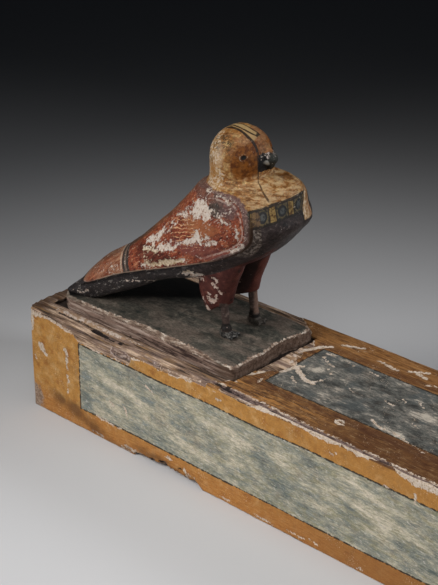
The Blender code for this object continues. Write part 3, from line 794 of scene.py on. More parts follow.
FAR_LOSSES = (
    (1.8, (-13.0, 58.4), (-8.0, 61.6)), (1.0, (-35.0, 40.0), (-26.0, 44.0)), (1.2, (2.6, 50.0), (4.6, 54.0)),
    (0.7, (-48.0, 28.0), (-40.0, 31.6)), (1.0, (-18.6, 48.0), (-16.0, 52.6)), (0.8, (9.4, 64.0), (10.4, 68.0)),
    (0.6, (-62.0, 21.0), (-58.0, 23.0)), (0.9, (-2.4, 22.6), (-1.4, 25.6)), (0.9, (-24.0, 36.0), (-16.0, 38.4)),
    (0.5, (-30.0, 50.0), (-26.0, 51.0)),
)
tear_a, tear_b = tears(P, 4.6, 0.55, 81)
near_loss = strokes(forward + tear_a, up + tear_b, NEAR_LOSSES)
near_loss += np.where(near_loss > -2.0, 0.40 * lumps(P, 2.4, 84), 0.0)
far_loss = strokes(forward, up, FAR_LOSSES)
loss = np.where(left < 0.0, near_loss, far_loss)
loss = np.where((np.abs(left) < 3.0) | (up > 78.0), OFF, loss)
back = np.minimum.reduce([73.4 - up, (-2.6 - forward) * 0.7, up - 64.0])
wing_paint = np.clip(np.maximum(wing, back), -9.0, 9.0)
print("losses:", len(NEAR_LOSSES), "near,", len(FAR_LOSSES), "far")

# %% [markdown]
# Now the points move along their normals, in millimetres: out for a ridge, in for a groove or a lost flake. The
# breast, the beak and the near thigh are then set back a little.

# %% Carving the falcon
EYE = (10.0, 88.5)
FEATHER_SLOPE = math.radians(40.0)
FEATHER_WIDTH = 5.2
N = triples(carving.data.vertex_normals, "vector")
off_nape = np.maximum(rise(forward, -3.0, 2.0), rise(70.0 - up, 0.0, 4.0))
at_front = rise(forward + 0.6 * (up - 60.0), -22.0, -4.0) * off_nape
on_rim = ridge(wing, 1.1, 1.0) * (0.35 + 0.65 * at_front) * off_nape
in_groove = ridge(wing, 3.4, 0.9) * at_front
out = 0.65 * on_rim - 0.45 * in_groove - 0.45 * ridge(wing, -0.8, 0.6) * off_nape
along_wing = forward * math.cos(FEATHER_SLOPE) + up * math.sin(FEATHER_SLOPE)
across_wing = up * math.cos(FEATHER_SLOPE) - forward * math.sin(FEATHER_SLOPE)
feathers = np.cos(across_wing * 2 * math.pi / FEATHER_WIDTH + 0.4 * lumps(P, 20.0, 71))
feathers = -rise(-feathers, 0.80, 1.0) * rise(wing, 3.0, 6.0) * (1.0 - rise(along_wing, 5.0, 22.0))
out += 0.20 * feathers
eye = np.hypot(forward - EYE[0], up - EYE[1])
out += (0.25 * ridge(eye, 1.7, 0.5) - 0.35 * rise(1.0 - eye, -0.4, 0.5)) * (np.abs(left) > 8.0)
out -= 0.34 * rise(loss, -0.1, 0.5)
out += 0.40 * ((shank > 0.0) & (leg > 0.0) & (left > 0.0) & (up > 4.5))
out += 0.18 * lumps(P, 8.0, 73) + 0.12 * lumps(P, 3.4, 74) + 0.06 * lumps(P, 1.8, 75)
P += N * out[:, None]
turned = np.array([math.cos(BIRD_TURN), math.sin(BIRD_TURN), 0.0])
set_back = 1.3 * rise(forward, 28.0, 34.0) * rise(up, 49.0, 53.0) * rise(76.0 - up, 0.0, 10.0)
set_back += 1.6 * rise(forward, 16.5, 19.0) * rise(86.0 - up, 0.0, 2.5) * rise(up, 80.0, 81.5) * (np.abs(left) < 7.0)
P -= turned * set_back[:, None]
corner = ridge(forward, -7.0, 2.8) * rise(19.0 - up, 0.0, 4.5) * (up > 11.5) * (left < -4.0)
P[:, 2] -= 2.4 * corner
floor_gap = 0.3 * (1.0 - rise(P[:, 2], plate_top + 1.0, plate_top + 4.0))
P[:, 2] -= floor_gap
end_carving(
    carving, P, 60.0, wing=wing_paint, rim=np.clip(wing, -9.0, 9.0), leg=leg, shank=shank, loss=loss
)
print("raised by up to", round(float(out.max()), 2), "mm")

# %% [markdown]
# ## Helpers for materials
# Node trees are written here like sums. A Value is the output of a node, and each sign between two values makes a
# Math node in the tree that is being built. The name tree always holds that tree.

# %% Values in a node tree


class Value:
    """The output of a node, which can be added, subtracted, multiplied and divided like a number."""

    def __init__(self, socket):
        self.socket = socket

    def __add__(self, other):
        return calc("ADD", self, other)

    def __radd__(self, other):
        return calc("ADD", other, self)

    def __sub__(self, other):
        return calc("SUBTRACT", self, other)

    def __rsub__(self, other):
        return calc("SUBTRACT", other, self)

    def __mul__(self, other):
        return calc("MULTIPLY", self, other)

    def __truediv__(self, other):
        return calc("DIVIDE", self, other)

    def __rtruediv__(self, other):
        return calc("DIVIDE", other, self)

    def __abs__(self):
        return calc("ABSOLUTE", self)


def feed(target, value):
    """Links a value to a node's input, or sets the input to a number or a colour."""
    if isinstance(value, Value):
        tree.links.new(value.socket, target)
    elif hasattr(value, "__len__"):
        target.default_value = tuple(value) if len(value) != 3 or target.type != "RGBA" else (*value, 1.0)
    else:
        target.default_value = value


def make(kind, inputs, output=0, **settings):
    """Adds a node with some settings, feeds its inputs and returns one of its outputs."""
    node = tree.nodes.new("ShaderNode" + kind)
    for name, value in settings.items():
        setattr(node, name, value)
    for name, value in inputs.items():
        feed(node.inputs[name], value)
    return Value(node.outputs[output])


def calc(operation, *values):
    return make("Math", dict(enumerate(values)), operation=operation)


def greatest(*values):
    return reduce(lambda one, other: calc("MAXIMUM", one, other), values)


def least(*values):
    return reduce(lambda one, other: calc("MINIMUM", one, other), values)


def centred(value, amount):
    """A noise value less its middle, times an amount, to be added to another."""
    return (value - 0.5) * amount


print("values ready")

# %% [markdown]
# The other nodes that the materials need are a smooth step, a mix of two colours, a colour ramp, a noise, and ways
# to turn, stretch and take apart a place on the object.

# %% Nodes for materials


def ramp(value, low_value, high_value, to_low=0.0, to_high=1.0):
    """to_low at low_value, to_high at high_value, and a smooth step between."""
    inputs = {"Value": value, "From Min": low_value, "From Max": high_value, "To Min": to_low, "To Max": to_high}
    return make("MapRange", inputs, interpolation_type="SMOOTHSTEP")


def blend(mask, first, second):
    """first where mask is 0, second where it is 1."""
    return make("Mix", {0: mask, 6: first, 7: second}, 2, data_type="RGBA")


def tones(value, *stops):
    """A colour read off a ramp. Stops are (place, colour) in rising order."""
    colour = make("ValToRGB", {"Fac": value}, "Color")
    items = colour.socket.node.color_ramp.elements
    items[0].position, items[1].position = stops[0][0], stops[-1][0]
    for at, _ in stops[1:-1]:
        items.new(at)
    for item, (_, shade) in zip(items, stops):
        item.color = (*shade, 1.0)
    return colour


def stretched(vector, sizes, turn=0.0):
    """The vector turned about Y and divided by three sizes, or by one size along X."""
    sizes = sizes if isinstance(sizes, tuple) else (sizes, 1.0, 1.0)
    inputs = {"Vector": vector, "Scale": sizes, "Rotation": (0.0, turn, 0.0)}
    return make("Mapping", inputs, vector_type="TEXTURE")


def noise(vector, size=1.0, detail=3.0, coarse=0.55, warp=0.0):
    inputs = {"Vector": vector, "Scale": 1.0 / size, "Detail": detail, "Roughness": coarse, "Distortion": warp}
    return make("TexNoise", inputs, "Fac")


def field_of(name):
    """A number that the carving stored at each point."""
    return make("Attribute", {}, "Fac", attribute_name=name)


def parts_of(vector):
    return [Value(part) for part in make("SeparateXYZ", {0: vector}).socket.node.outputs]


def object_millimetres():
    return make("VectorMath", {0: make("TexCoord", {}, "Object"), "Scale": 1.0 / MM}, operation="SCALE")


def new_group(name, inputs, outputs):
    """An empty node group. A socket's start value gives its kind: none a vector, three numbers a colour."""
    kinds = {float: "NodeSocketFloat", tuple: "NodeSocketColor"}
    group = bpy.data.node_groups.new(name, "ShaderNodeTree")
    for label, start in inputs.items():
        item = group.interface.new_socket(
            label, in_out="INPUT", socket_type=kinds.get(type(start), "NodeSocketVector")
        )
        if start is not None:
            item.default_value = (*start, 1.0) if isinstance(start, tuple) else start
    for label, start in outputs.items():
        group.interface.new_socket(label, in_out="OUTPUT", socket_type=kinds[type(start)])
    given = [Value(socket) for socket in group.nodes.new("NodeGroupInput").outputs if socket.name]
    return group, given, group.nodes.new("NodeGroupOutput").inputs


def use_group(group, *values):
    """Places a group and feeds its inputs in order. Returns its output, or all of them where it has several."""
    outputs = make("Group", {}, node_tree=group).socket.node.outputs
    for target, value in zip(outputs[0].node.inputs, values):
        feed(target, value)
    return Value(outputs[0]) if len(outputs) == 1 else [Value(socket) for socket in outputs]


print("node helpers ready")

# %% [markdown]
# ## Effects that several materials share
# Five effects come back on every piece. Ragged loss turns a smooth field into a crisp mask with a torn edge.
# Brushed paint varies a paint in patches and streaks. Uneven tone darkens and lightens a colour in fine mottles, as
# old handled paint has them. Bare wood has dark and pale grain along its length. Small chips are pin-prick losses
# that gather in places.

# %% Shared effects for losses
BLACK = (0.0, 0.0, 0.0)
tree, (place, field, size, raggedness, softness), result = new_group(
    "ragged loss", {"Vector": None, "Field": 0.0, "Size": 2.0, "Raggedness": 3.0, "Softness": 0.12}, {"Mask": 0.0}
)
ragged_loss = tree
torn = field + centred(noise(place, size, 5.0, 0.62), raggedness)
feed(result["Mask"], ramp(torn, softness * -1.0, softness))

tree, (place, size, gathering, threshold), result = new_group(
    "small chips", {"Vector": None, "Size": 1.2, "Gathering": 14.0, "Threshold": 0.66}, {"Mask": 0.0}
)
small_chips = tree
pricks = noise(place, size, 3.0, 0.6) + centred(noise(place, gathering, 2.0, 0.5), 0.45)
feed(result["Mask"], ramp(pricks, threshold, threshold + 0.025))
print("shared effects for losses ready")

# %% [markdown]
# The other three effects give colours. A colour of their own goes in for the paint or wood as a whole, and others
# for its lighter and darker places.

# %% Shared effects for paint and wood
tree, (place, full, light, deep, patch_size, streak_size), result = new_group(
    "brushed paint",
    {
        "Vector": None, "Paint": (0.5, 0.3, 0.1), "Light": (0.6, 0.4, 0.2), "Dark": (0.2, 0.1, 0.05),
        "Patch Size": 12.0, "Streak Size": 1.6,
    },
    {"Colour": BLACK},
)
brushed_paint = tree
patches = noise(place, patch_size, 4.0, 0.6)
streaks = noise(stretched(place, 9.0), streak_size, 3.0, 0.6)
mottled = blend(ramp(patches, 0.50, 0.68), full, light)
mottled = blend(ramp(patches, 0.46, 0.30), mottled, deep)
mottled = blend(ramp(streaks, 0.56, 0.74, 0.0, 0.55), mottled, light)
mottled = blend(ramp(streaks, 0.44, 0.28, 0.0, 0.55), mottled, deep)
feed(result["Colour"], mottled)

tree, (place, plain, size, amount), result = new_group(
    "uneven tone", {"Vector": None, "Colour": (0.5, 0.5, 0.5), "Size": 1.2, "Amount": 1.0}, {"Colour": BLACK}
)
uneven_tone = tree
mottle = 1.0 + centred(noise(place, size, 5.0, 0.74), 3.4) * amount
feed(result["Colour"], make("HueSaturation", {"Color": plain, "Value": greatest(mottle, 0.15)}))

tree, (place, light, deep, pale), result = new_group(
    "bare wood",
    {"Vector": None, "Light": (0.3, 0.2, 0.15), "Dark": (0.05, 0.03, 0.02), "Pale": (0.6, 0.5, 0.4)},
    {"Colour": BLACK, "Grain": 0.0},
)
bare_wood = tree
lines = noise(stretched(place, 14.0), 1.3, 4.0, 0.68, 0.3)
streak = 0.5 + centred(lines, 1.1) + centred(noise(stretched(place, 12.0), 3.4, 4.0, 0.6), 1.3)
wood = blend(ramp(streak, 0.33, 0.50), deep, light)
feed(result["Colour"], blend(ramp(streak, 0.54, 0.70), wood, pale))
feed(result["Grain"], lines)
print("shared effects:", [group.name for group in bpy.data.node_groups])

# %% [markdown]
# Every material ends the same way: colour and roughness into a Principled surface, and a height that becomes a
# fine bump under the carving.

# %% Closing a material


def new_material(name):
    material = bpy.data.materials.new(name)
    material.use_nodes = True
    surface = material.node_tree.nodes["Principled BSDF"]
    surface.inputs["Metallic"].default_value = 0.0
    surface.inputs["Specular IOR Level"].default_value = 0.25
    return material, material.node_tree, surface


def close_material(surface, colour, roughness, height, strength):
    normal = make("Bump", {"Strength": strength, "Distance": 0.0005, "Height": height})
    for name, value in (("Normal", normal), ("Base Color", colour), ("Roughness", roughness)):
        feed(surface.inputs[name], value)


GESSO = (0.62, 0.50, 0.38)
WOOD_LIGHT = (0.27, 0.175, 0.120)
WOOD_DARK = (0.050, 0.032, 0.023)
WOOD_PALE = (0.68, 0.50, 0.36)
print("ground colour", GESSO)

# %% [markdown]
# ## The block's paint
# Each side has an ochre border round a panel, with a thin black line between. The side panels are brushed in blue,
# grey and cream along the block, the top one is dark green-grey, and the border on the top has darkened to brown.
# The signed distance to a panel's outline is worked out from the place alone, so the line stays crisp.

# %% The block's paint
block_paint, tree, surface = new_material("painted_block")
place = object_millimetres()
sway = make("TexNoise", {"Vector": place, "Scale": 1.0 / 45.0, "Detail": 1.0}, "Color")
shift = make("VectorMath", {0: sway, 1: (1.8, 1.8, 1.8), 2: (-0.9, -0.9, -0.9)}, operation="MULTIPLY_ADD")
sx, sy, sz = parts_of(make("VectorMath", {0: place, 1: shift}, operation="ADD"))
px, py, pz = parts_of(place)


def rectangle(a, a_middle, a_half, b, b_middle, b_half):
    """The distance in from the nearest side of a rectangle."""
    in_a = a_half - abs(a - a_middle)
    in_b = b_half - abs(b - b_middle)
    return least(in_a, in_b)


PANEL_MIDDLE, PANEL_HALF = 40.0, 24.6
panel = greatest(
    rectangle(sx, 0.0, 161.0, sz, PANEL_MIDDLE, PANEL_HALF), rectangle(sy, 0.0, 38.0, sz, PANEL_MIDDLE, PANEL_HALF),
    rectangle(sx, 85.0, 105.0, sy, 0.0, 28.2),
)
on_top = ramp(pz, 76.6, 77.6)
worn_line = noise(place, 3.0, 4.0, 0.65)
line_width = ramp(worn_line, 0.38, 0.55, -0.05, 0.55)
line = ramp(abs(panel) - line_width, 0.28, 0.0)
print("panel outlines placed")

# %% [markdown]
# Streaks along the block are noise stretched along X. Several are mixed, broad under fine, so that no single
# pattern shows.

# %% The block's borders and panels
ochre = use_group(brushed_paint, place, (0.49, 0.238, 0.057), (0.58, 0.34, 0.13), (0.35, 0.138, 0.03), 8.0, 1.0)
ochre = use_group(uneven_tone, place, ochre, 3.4, 0.28)
ochre = blend(ramp(px, -60.0, 60.0, 0.0, 0.45), ochre, (0.43, 0.19, 0.042))
low_orange = ramp(pz + noise(place, 16.0, 3.0) * 20.0, 34.0, 18.0, 0.0, 0.6)
orange_tone = tones(
    noise(stretched(place, 6.0), 1.1, 5.0, 0.7), (0.36, (0.24, 0.075, 0.014)), (0.48, (0.42, 0.15, 0.032)),
    (0.64, (0.5, 0.25, 0.08)),
)
ochre = blend(low_orange, ochre, orange_tone)
ochre = blend(ramp(px, -40.0, 100.0, 0.0, 0.55) * ramp(pz, 24.0, 12.0), ochre, (0.24, 0.1, 0.028))
brown = use_group(brushed_paint, place, (0.18, 0.083, 0.032), (0.34, 0.185, 0.075), (0.085, 0.036, 0.018), 5.0, 0.9)
near_end = ramp(px, 70.0, -10.0, 0.25, 1.0)
golden = ramp(noise(stretched(place, 11.0), 1.3, 4.0, 0.68), 0.48, 0.6)
brown = blend(golden * near_end, brown, (0.44, 0.205, 0.06))
burnt = ramp(noise(stretched(place, 9.0), 1.8, 4.0, 0.68), 0.47, 0.37, 0.0, 0.85)
brown = blend(burnt, brown, (0.055, 0.021, 0.01))
burnt_patch = ramp(px, 30.0, 70.0) * ramp(py, -27.0, -34.0)
brown = blend(burnt_patch * 0.6, brown, (0.075, 0.027, 0.012))
far_tone = tones(
    noise(stretched(place, 7.0), 1.6, 5.0, 0.7), (0.36, (0.075, 0.03, 0.012)), (0.47, (0.24, 0.1, 0.03)),
    (0.6, (0.42, 0.21, 0.075)),
)
brown = blend(ramp(py, 26.0, 30.0, 0.0, 0.7), brown, far_tone)
near_line = ramp(abs(panel + 4.5), 6.0, 1.0, 0.0, 0.55)
brown = blend(near_line, brown, (0.085, 0.034, 0.018))
rubbed = ramp(noise(stretched(place, 8.0), 1.2, 5.0, 0.7), 0.56, 0.7, 0.0, 0.75)
brown = blend(rubbed, brown, (0.36, 0.22, 0.11))
border = blend(on_top, ochre, brown)
tint_field = field_of("tint")
strokes_along = noise(stretched(place, 6.0), 1.0, 5.0, 0.7)
clouds = noise(stretched(place, 3.4, math.radians(7.0)), 5.5, 5.0, 0.62)
leaning = 0.5 + centred(clouds, 0.85) + tint_field * 0.11 + centred(strokes_along, 0.7)
leaning = leaning + ramp(px, -70.0, -150.0, 0.0, -0.03)
side_panel = tones(
    leaning, (0.3, (0.66, 0.59, 0.47)), (0.41, (0.49, 0.45, 0.335)), (0.5, (0.35, 0.34, 0.27)),
    (0.6, (0.235, 0.25, 0.215)), (0.74, (0.115, 0.14, 0.13)),
)
to_right = ramp(px, -100.0, 20.0)
olive = ramp(noise(stretched(place, 3.4), 2.8, 4.0, 0.68), 0.5, 0.64, 0.0, 0.6)
side_panel = blend(olive * ramp(to_right, 0.0, 1.0, 0.45, 1.0), side_panel, (0.25, 0.235, 0.13))
blue = ramp(noise(stretched(place, 3.4), 3.4, 4.0, 0.66), 0.54, 0.68, 0.0, 0.55)
side_panel = blend(blue * ramp(to_right, 0.0, 1.0, 1.0, 0.55), side_panel, (0.2, 0.25, 0.27))
pale_dabs = ramp(noise(stretched(place, 3.4, math.radians(12.0)), 1.2, 4.0, 0.68), 0.57, 0.69, 0.0, 0.8)
side_panel = blend(pale_dabs, side_panel, (0.64, 0.6, 0.53))
side_panel = use_group(uneven_tone, stretched(place, 2.4), side_panel, 1.2, 0.45)
scuffs = noise(stretched(place, 3.0), 1.5, 5.0, 0.74)
top_cloud = noise(stretched(place, 2.0), 7.0, 5.0, 0.66)
top_value = top_cloud + centred(scuffs, 0.85) + tint_field * -0.16
top_panel = tones(
    top_value, (0.34, (0.046, 0.045, 0.041)), (0.45, (0.094, 0.094, 0.086)), (0.56, (0.15, 0.146, 0.13)),
    (0.65, (0.27, 0.245, 0.21)), (0.75, (0.54, 0.48, 0.4)),
)
teal_drift = ramp(noise(place, 18.0, 2.0), 0.46, 0.62, 0.0, 0.4)
top_panel = blend(teal_drift * ramp(top_value, 0.64, 0.58), top_panel, (0.09, 0.108, 0.112))
panel_paint = blend(on_top, side_panel, top_panel)
paint = blend(ramp(panel, -0.15, 0.15), border, panel_paint)
paint = blend(line * 0.93, paint, (0.022, 0.017, 0.013))
print("borders and panels brushed")

# %% [markdown]
# The losses go over the paint: pin-prick chips, the cream ground where a flake has gone, a narrow cream rim where the
# paint stops, then the wood, and on all of it dark patches, partly painted shade under the broken edge, and dirt.
# Painted shade fills the seat round the plate.

# %% The block's losses and finish
chips = use_group(small_chips, place, 0.9, 13.0, 0.685)
paint = blend(chips * 0.7, paint, GESSO)
gesso_field = field_of("gesso")
bare_field = field_of("bare")
gesso_mask = use_group(ragged_loss, place, gesso_field, 1.8, 4.4, 0.16)
wood_mask = use_group(ragged_loss, place, bare_field, 2.4, 3.4, 0.12)
rim_width = ramp(noise(place, 8.0, 2.0), 0.42, 0.62, -0.3, 1.0)
rim_mask = use_group(ragged_loss, place, bare_field + rim_width, 1.8, 3.6, 0.15)
ground_tone = tones(
    noise(place, 1.3, 5.0, 0.72), (0.34, (0.26, 0.165, 0.105)), (0.43, (0.52, 0.39, 0.28)), (0.54, (0.72, 0.61, 0.5)),
    (0.66, (0.64, 0.54, 0.5)),
)
timber, wood_grain = use_group(bare_wood, place, WOOD_LIGHT, WOOD_DARK, WOOD_PALE)
mauve = ramp(noise(stretched(place, 5.0), 4.0, 3.0, 0.6), 0.5, 0.6, 0.0, 0.4)
wood_colour = blend(mauve, timber, (0.25, 0.175, 0.155))
yellow = ramp(noise(stretched(place, 9.0), 2.0, 3.0, 0.6), 0.56, 0.64, 0.0, 0.7)
wood_colour = blend(yellow, wood_colour, (0.33, 0.19, 0.085))
whorl_field = field_of("whorl") + centred(noise(place, 2.6, 4.0, 0.65), 0.9)
ringed = calc("SINE", whorl_field * 15.0)
ring_tone = blend(ramp(ringed, -0.3, 0.5), (0.19, 0.125, 0.11), (0.6, 0.48, 0.43))
wood_colour = blend(
    ramp(whorl_field, 1.1, 0.85, 0.0, 0.8) * ramp(rim_width, -0.3, 0.6, 0.35, 1.0), wood_colour, ring_tone
)
end_grain_dark = ramp(px, -196.0, -204.0, 0.0, 0.7)
wood_colour = blend(end_grain_dark * on_top, wood_colour, (0.06, 0.036, 0.026))
colour = blend(greatest(gesso_mask, rim_mask), paint, ground_tone)
colour = blend(wood_mask, colour, wood_colour)
ledge_paint = blend(ramp(noise(place, 3.2, 4.0, 0.65), 0.44, 0.58), (0.4, 0.255, 0.16), (0.66, 0.55, 0.47))
colour = blend(gesso_mask * wood_mask, colour, ledge_paint)
# The dark patches: a brown smudge, and painted shade under the broken lower edge.
stain_mask = use_group(ragged_loss, place, field_of("stain"), 6.0, 9.0, 3.4)
colour = blend(stain_mask * 0.75, colour, (0.11, 0.045, 0.014))
worn_mask = use_group(ragged_loss, place, field_of("worn"), 3.0, 8.0, 1.2)
worn_tone = blend(ramp(noise(place, 1.3, 5.0, 0.7), 0.4, 0.6), (0.17, 0.115, 0.085), (0.42, 0.33, 0.27))
colour = blend(worn_mask * 0.85, colour, worn_tone)
crack_mask = use_group(ragged_loss, place, field_of("crack"), 1.6, 2.0, 0.25)
crack_tone = blend(
    ramp(noise(stretched(place, 6.0), 1.0, 4.0, 0.68), 0.42, 0.58), (0.085, 0.054, 0.048), (0.25, 0.175, 0.155)
)
colour = blend(crack_mask, colour, crack_tone)
# Near black over the knot pits and the split, and painted shade in the seat round the plate.
pits_and_seat_shade_mask = use_group(ragged_loss, place, field_of("dark"), 2.0, 2.0, 0.3)
colour = blend(pits_and_seat_shade_mask * 0.94, colour, (0.012, 0.008, 0.008))
colour = blend(ramp(noise(place, 26.0, 5.0, 0.68), 0.52, 0.75, 0.0, 0.35), colour, (0.12, 0.07, 0.035))
colour = use_group(uneven_tone, place, colour, 0.9, 0.25)
bumps = noise(place, 0.7, 5.0, 0.7) * 0.55 + strokes_along * 0.4
lowered = greatest(gesso_mask * 0.5, rim_mask * 0.5, wood_mask)
bumps = bumps - lowered + wood_mask * wood_grain * 1.8
close_material(surface, colour, ramp(wood_mask, 0.0, 1.0, 0.58, 0.85), bumps, 0.9)
print("painted_block:", len(tree.nodes), "nodes")

# %% [markdown]
# ## The plate's paint
# The plate is dark green-grey, browner towards the near side, with a torn pale line where the paint stops short of
# the rim. Its sides are bare, purple-brown wood, darkened on the rear and far sides as painted shade. The top behind
# the tail is painted near black as the bird's shadow.

# %% The plate's paint
board_paint, tree, surface = new_material("painted_board")
place = object_millimetres()
near_field = field_of("near")
bare_field = field_of("bare")
dark_paint = use_group(
    brushed_paint, place, (0.068, 0.064, 0.053), (0.165, 0.142, 0.115), (0.026, 0.031, 0.027), 6.0, 1.1
)
drift = noise(stretched(place, 3.0), 11.0, 3.0, 0.5)
px, py, pz = parts_of(place)
worn_front = ramp(px, -150.0, -70.0, 0.35, 0.75)
dark_paint = blend(ramp(drift, 0.42, 0.58) * worn_front, dark_paint, (0.165, 0.128, 0.103))
dust = ramp(noise(stretched(place, 4.0), 1.2, 5.0, 0.74), 0.54, 0.72, 0.0, 0.6)
dark_paint = blend(dust, dark_paint, (0.25, 0.215, 0.18))
dark_paint = use_group(uneven_tone, stretched(place, 2.0), dark_paint, 1.1, 1.0)
# Painted shadow: the plate's top behind and under the tail is painted near black where the bird's shadow falls.
painted_tail_shadow = py - (px + 139.0) * 0.88
painted_tail_shadow = ramp(painted_tail_shadow, -7.0, 5.0) * ramp(px, -84.0, -98.0)
dark_paint = blend(painted_tail_shadow * 0.95, dark_paint, (0.004, 0.004, 0.004))
chips = use_group(small_chips, place, 0.8, 12.0, 0.72)
dark_paint = blend(chips * 0.6, dark_paint, (0.36, 0.31, 0.25))
rim_mask = use_group(ragged_loss, place, bare_field, 2.0, 4.4, 0.15)
wood_field = bare_field - ramp(px, -47.0, -41.0, 2.5, 2.1)
wood_mask = use_group(ragged_loss, place, wood_field, 2.2, 4.0, 0.3)
timber, wood_grain = use_group(bare_wood, place, (0.27, 0.18, 0.14), (0.055, 0.032, 0.027), (0.48, 0.37, 0.31))
crumbs = noise(stretched(place, 2.4), 2.4, 5.0, 0.7)
rim_tone = tones(
    crumbs, (0.34, (0.085, 0.05, 0.036)), (0.44, (0.225, 0.15, 0.11)), (0.53, (0.4, 0.295, 0.225)),
    (0.62, (0.76, 0.66, 0.56)),
)
at_rear = ramp(px, -47.0, -41.0)
near_edge = greatest(near_field, at_rear)
pale = rim_mask * ramp(near_edge, 0.0, 1.0, 0.3, 1.0)
left_end = ramp(px, -168.0, -182.0, 0.0, 0.65)
rim_tone = blend(left_end, rim_tone, (0.085, 0.07, 0.052))
colour = blend(pale, dark_paint, rim_tone)
# Painted shade: the bare wood on the rear and far sides, away from the near rim, is darkened for the shade it stands
# in.
painted_rear_shade = ramp(near_field, 0.0, 0.6, 0.72, 0.0)
wood_colour = blend(painted_rear_shade, timber, (0.105, 0.062, 0.04))
side_dust = ramp(noise(stretched(place, (5.0, 5.0, 1.0)), 1.2, 5.0, 0.7), 0.54, 0.7, 0.0, 0.7)
wood_colour = blend(side_dust * ramp(near_field, 0.0, 1.0, 0.3, 1.0), wood_colour, (0.34, 0.25, 0.2))
colour = blend(wood_mask, colour, wood_colour)
bumps = noise(place, 0.8, 5.0, 0.7) * 0.8 + rim_mask * -0.4 + wood_mask * wood_grain * 1.8
close_material(surface, colour, ramp(wood_mask, 0.0, 1.0, 0.5, 0.85), bumps, 0.9)
print("painted_board:", len(tree.nodes), "nodes")

# %% [markdown]
# ## The falcon's paint
# The head, neck and upper breast are ochre, the wings red with a dark double bar near the tips, and the belly,
# tail and underside nearly black. Between the breast and the belly runs a collar of pale bars and dark ovals. All
# of it is placed in the bird's own frame, which a Mapping node gives from the object's coordinates.

# %% The falcon's zones
falcon_paint, tree, surface = new_material("painted_falcon")
place = object_millimetres()
own = make(
    "Mapping",
    {
        "Vector": place, "Location": [v / MM for v in BIRD_FOOT], "Rotation": (0.0, 0.0, BIRD_TURN),
        "Scale": (BIRD_UNIT / MM,) * 3,
    },
    vector_type="TEXTURE",
)
bf, bl, bu = parts_of(own)
along_wing = make("Mapping", {"Vector": own, "Rotation": (0.0, math.radians(36.0), 0.0)}, vector_type="POINT")
wing_field, rim_field, leg_field, shank_field, loss_field = map(field_of, ("wing", "rim", "leg", "shank", "loss"))
hand = centred(noise(own, 5.0, 2.0), 1.6)
level = bu - bf * 0.38 + hand
print("bird frame in the material")

# %% [markdown]
# The head is ochre with a brown cheek and a paler, rubbed back, on which a pale painted highlight lies. Ovals in
# forward and up, given a torn edge, place such patches.

# %% The ochre head


def oval(a, a_middle, a_half, b, b_middle, b_half):
    """1 at the middle of an oval and 0 on its edge."""
    in_a = (a - a_middle) / a_half
    in_b = (b - b_middle) / b_half
    squares = in_a * in_a + in_b * in_b
    return 1.0 - calc("SQRT", squares)


def patch(a_middle, a_half, b_middle, b_half, size, raggedness, softness):
    """A torn patch in forward and up, on both sides of the bird."""
    field = oval(bf, a_middle, a_half, bu, b_middle, b_half)
    return use_group(ragged_loss, own, field, size, raggedness, softness)


head = use_group(brushed_paint, own, (0.33, 0.14, 0.034), (0.58, 0.38, 0.16), (0.15, 0.046, 0.006), 3.2, 1.0)
flesh = ramp(noise(own, 3.4, 4.0, 0.6), 0.52, 0.64, 0.0, 0.5)
head = blend(flesh, head, (0.38, 0.165, 0.065))
forehead = patch(15.0, 9.0, 97.0, 8.0, 3.0, 0.9, 0.25)
head = blend(forehead * 0.65, head, (0.31, 0.14, 0.07))
wisps = noise(stretched(own, (4.4, 4.4, 1.0)), 1.0, 4.0, 0.68)
on_neck = ramp(bu, 88.0, 80.0, 0.25, 1.0)
head = blend(ramp(wisps, 0.54, 0.63, 0.0, 0.8) * on_neck, head, (0.62, 0.43, 0.23))
head = blend(ramp(wisps, 0.48, 0.38, 0.0, 0.75) * on_neck, head, (0.15, 0.052, 0.009))
head = use_group(uneven_tone, own, head, 1.0, 0.9)
rubbed_back = greatest(
    patch(-6.0, 5.6, 87.0, 10.5, 2.2, 2.2, 0.12), patch(-3.0, 5.0, 78.0, 6.0, 1.8, 2.6, 0.12) * 0.8
)
rubbed_tone = tones(
    noise(own, 1.2, 5.0, 0.72), (0.4, (0.33, 0.13, 0.026)), (0.49, (0.52, 0.31, 0.115)), (0.57, (0.8, 0.68, 0.54)),
    (0.68, (0.66, 0.58, 0.55)),
)
head = blend(rubbed_back * 0.85, head, rubbed_tone)
gold_back = patch(-5.4, 2.4, 80.4, 3.4, 1.6, 1.4, 0.15)
head = blend(gold_back * 0.75, head, (0.42, 0.19, 0.045))
scribble = patch(-1.0, 6.0, 92.4, 3.4, 1.6, 1.5, 0.15)
curls = abs(noise(own, 1.5, 3.0, 0.6) - 0.52)
head = blend(scribble * ramp(curls, 0.05, 0.022), head, (0.05, 0.032, 0.01))
# Painted highlight: a pale pink-cream patch on the back of the head, where the light glints on it.
painted_head_highlight = patch(-1.6, 2.2, 87.6, 4.2, 2.4, 1.2, 1.0)
head = blend(painted_head_highlight * 0.5, head, (0.72, 0.54, 0.38))
pale_breast = ramp(bf, 10.0, 18.0) * ramp(bu, 82.0, 77.0)
head = blend(pale_breast * ramp(wisps, 0.42, 0.56, 0.0, 0.55), head, (0.6, 0.42, 0.23))
cheek = patch(10.2, 5.4, 86.2, 8.0, 2.6, 0.9, 0.16)
cheek_tone = blend(ramp(noise(own, 2.0, 4.0, 0.6), 0.4, 0.62), (0.11, 0.026, 0.001), (0.27, 0.085, 0.008))
head = blend(cheek * 0.93, head, cheek_tone)
print("head colours")

# %% [markdown]
# The wings are red over orange, worn into fine lines along the feathers. The lines are stripes across the wing,
# broken by noise, and only in one patch of it. They rise by 18 degrees, whose cosine and sine are 0.951 and 0.309.

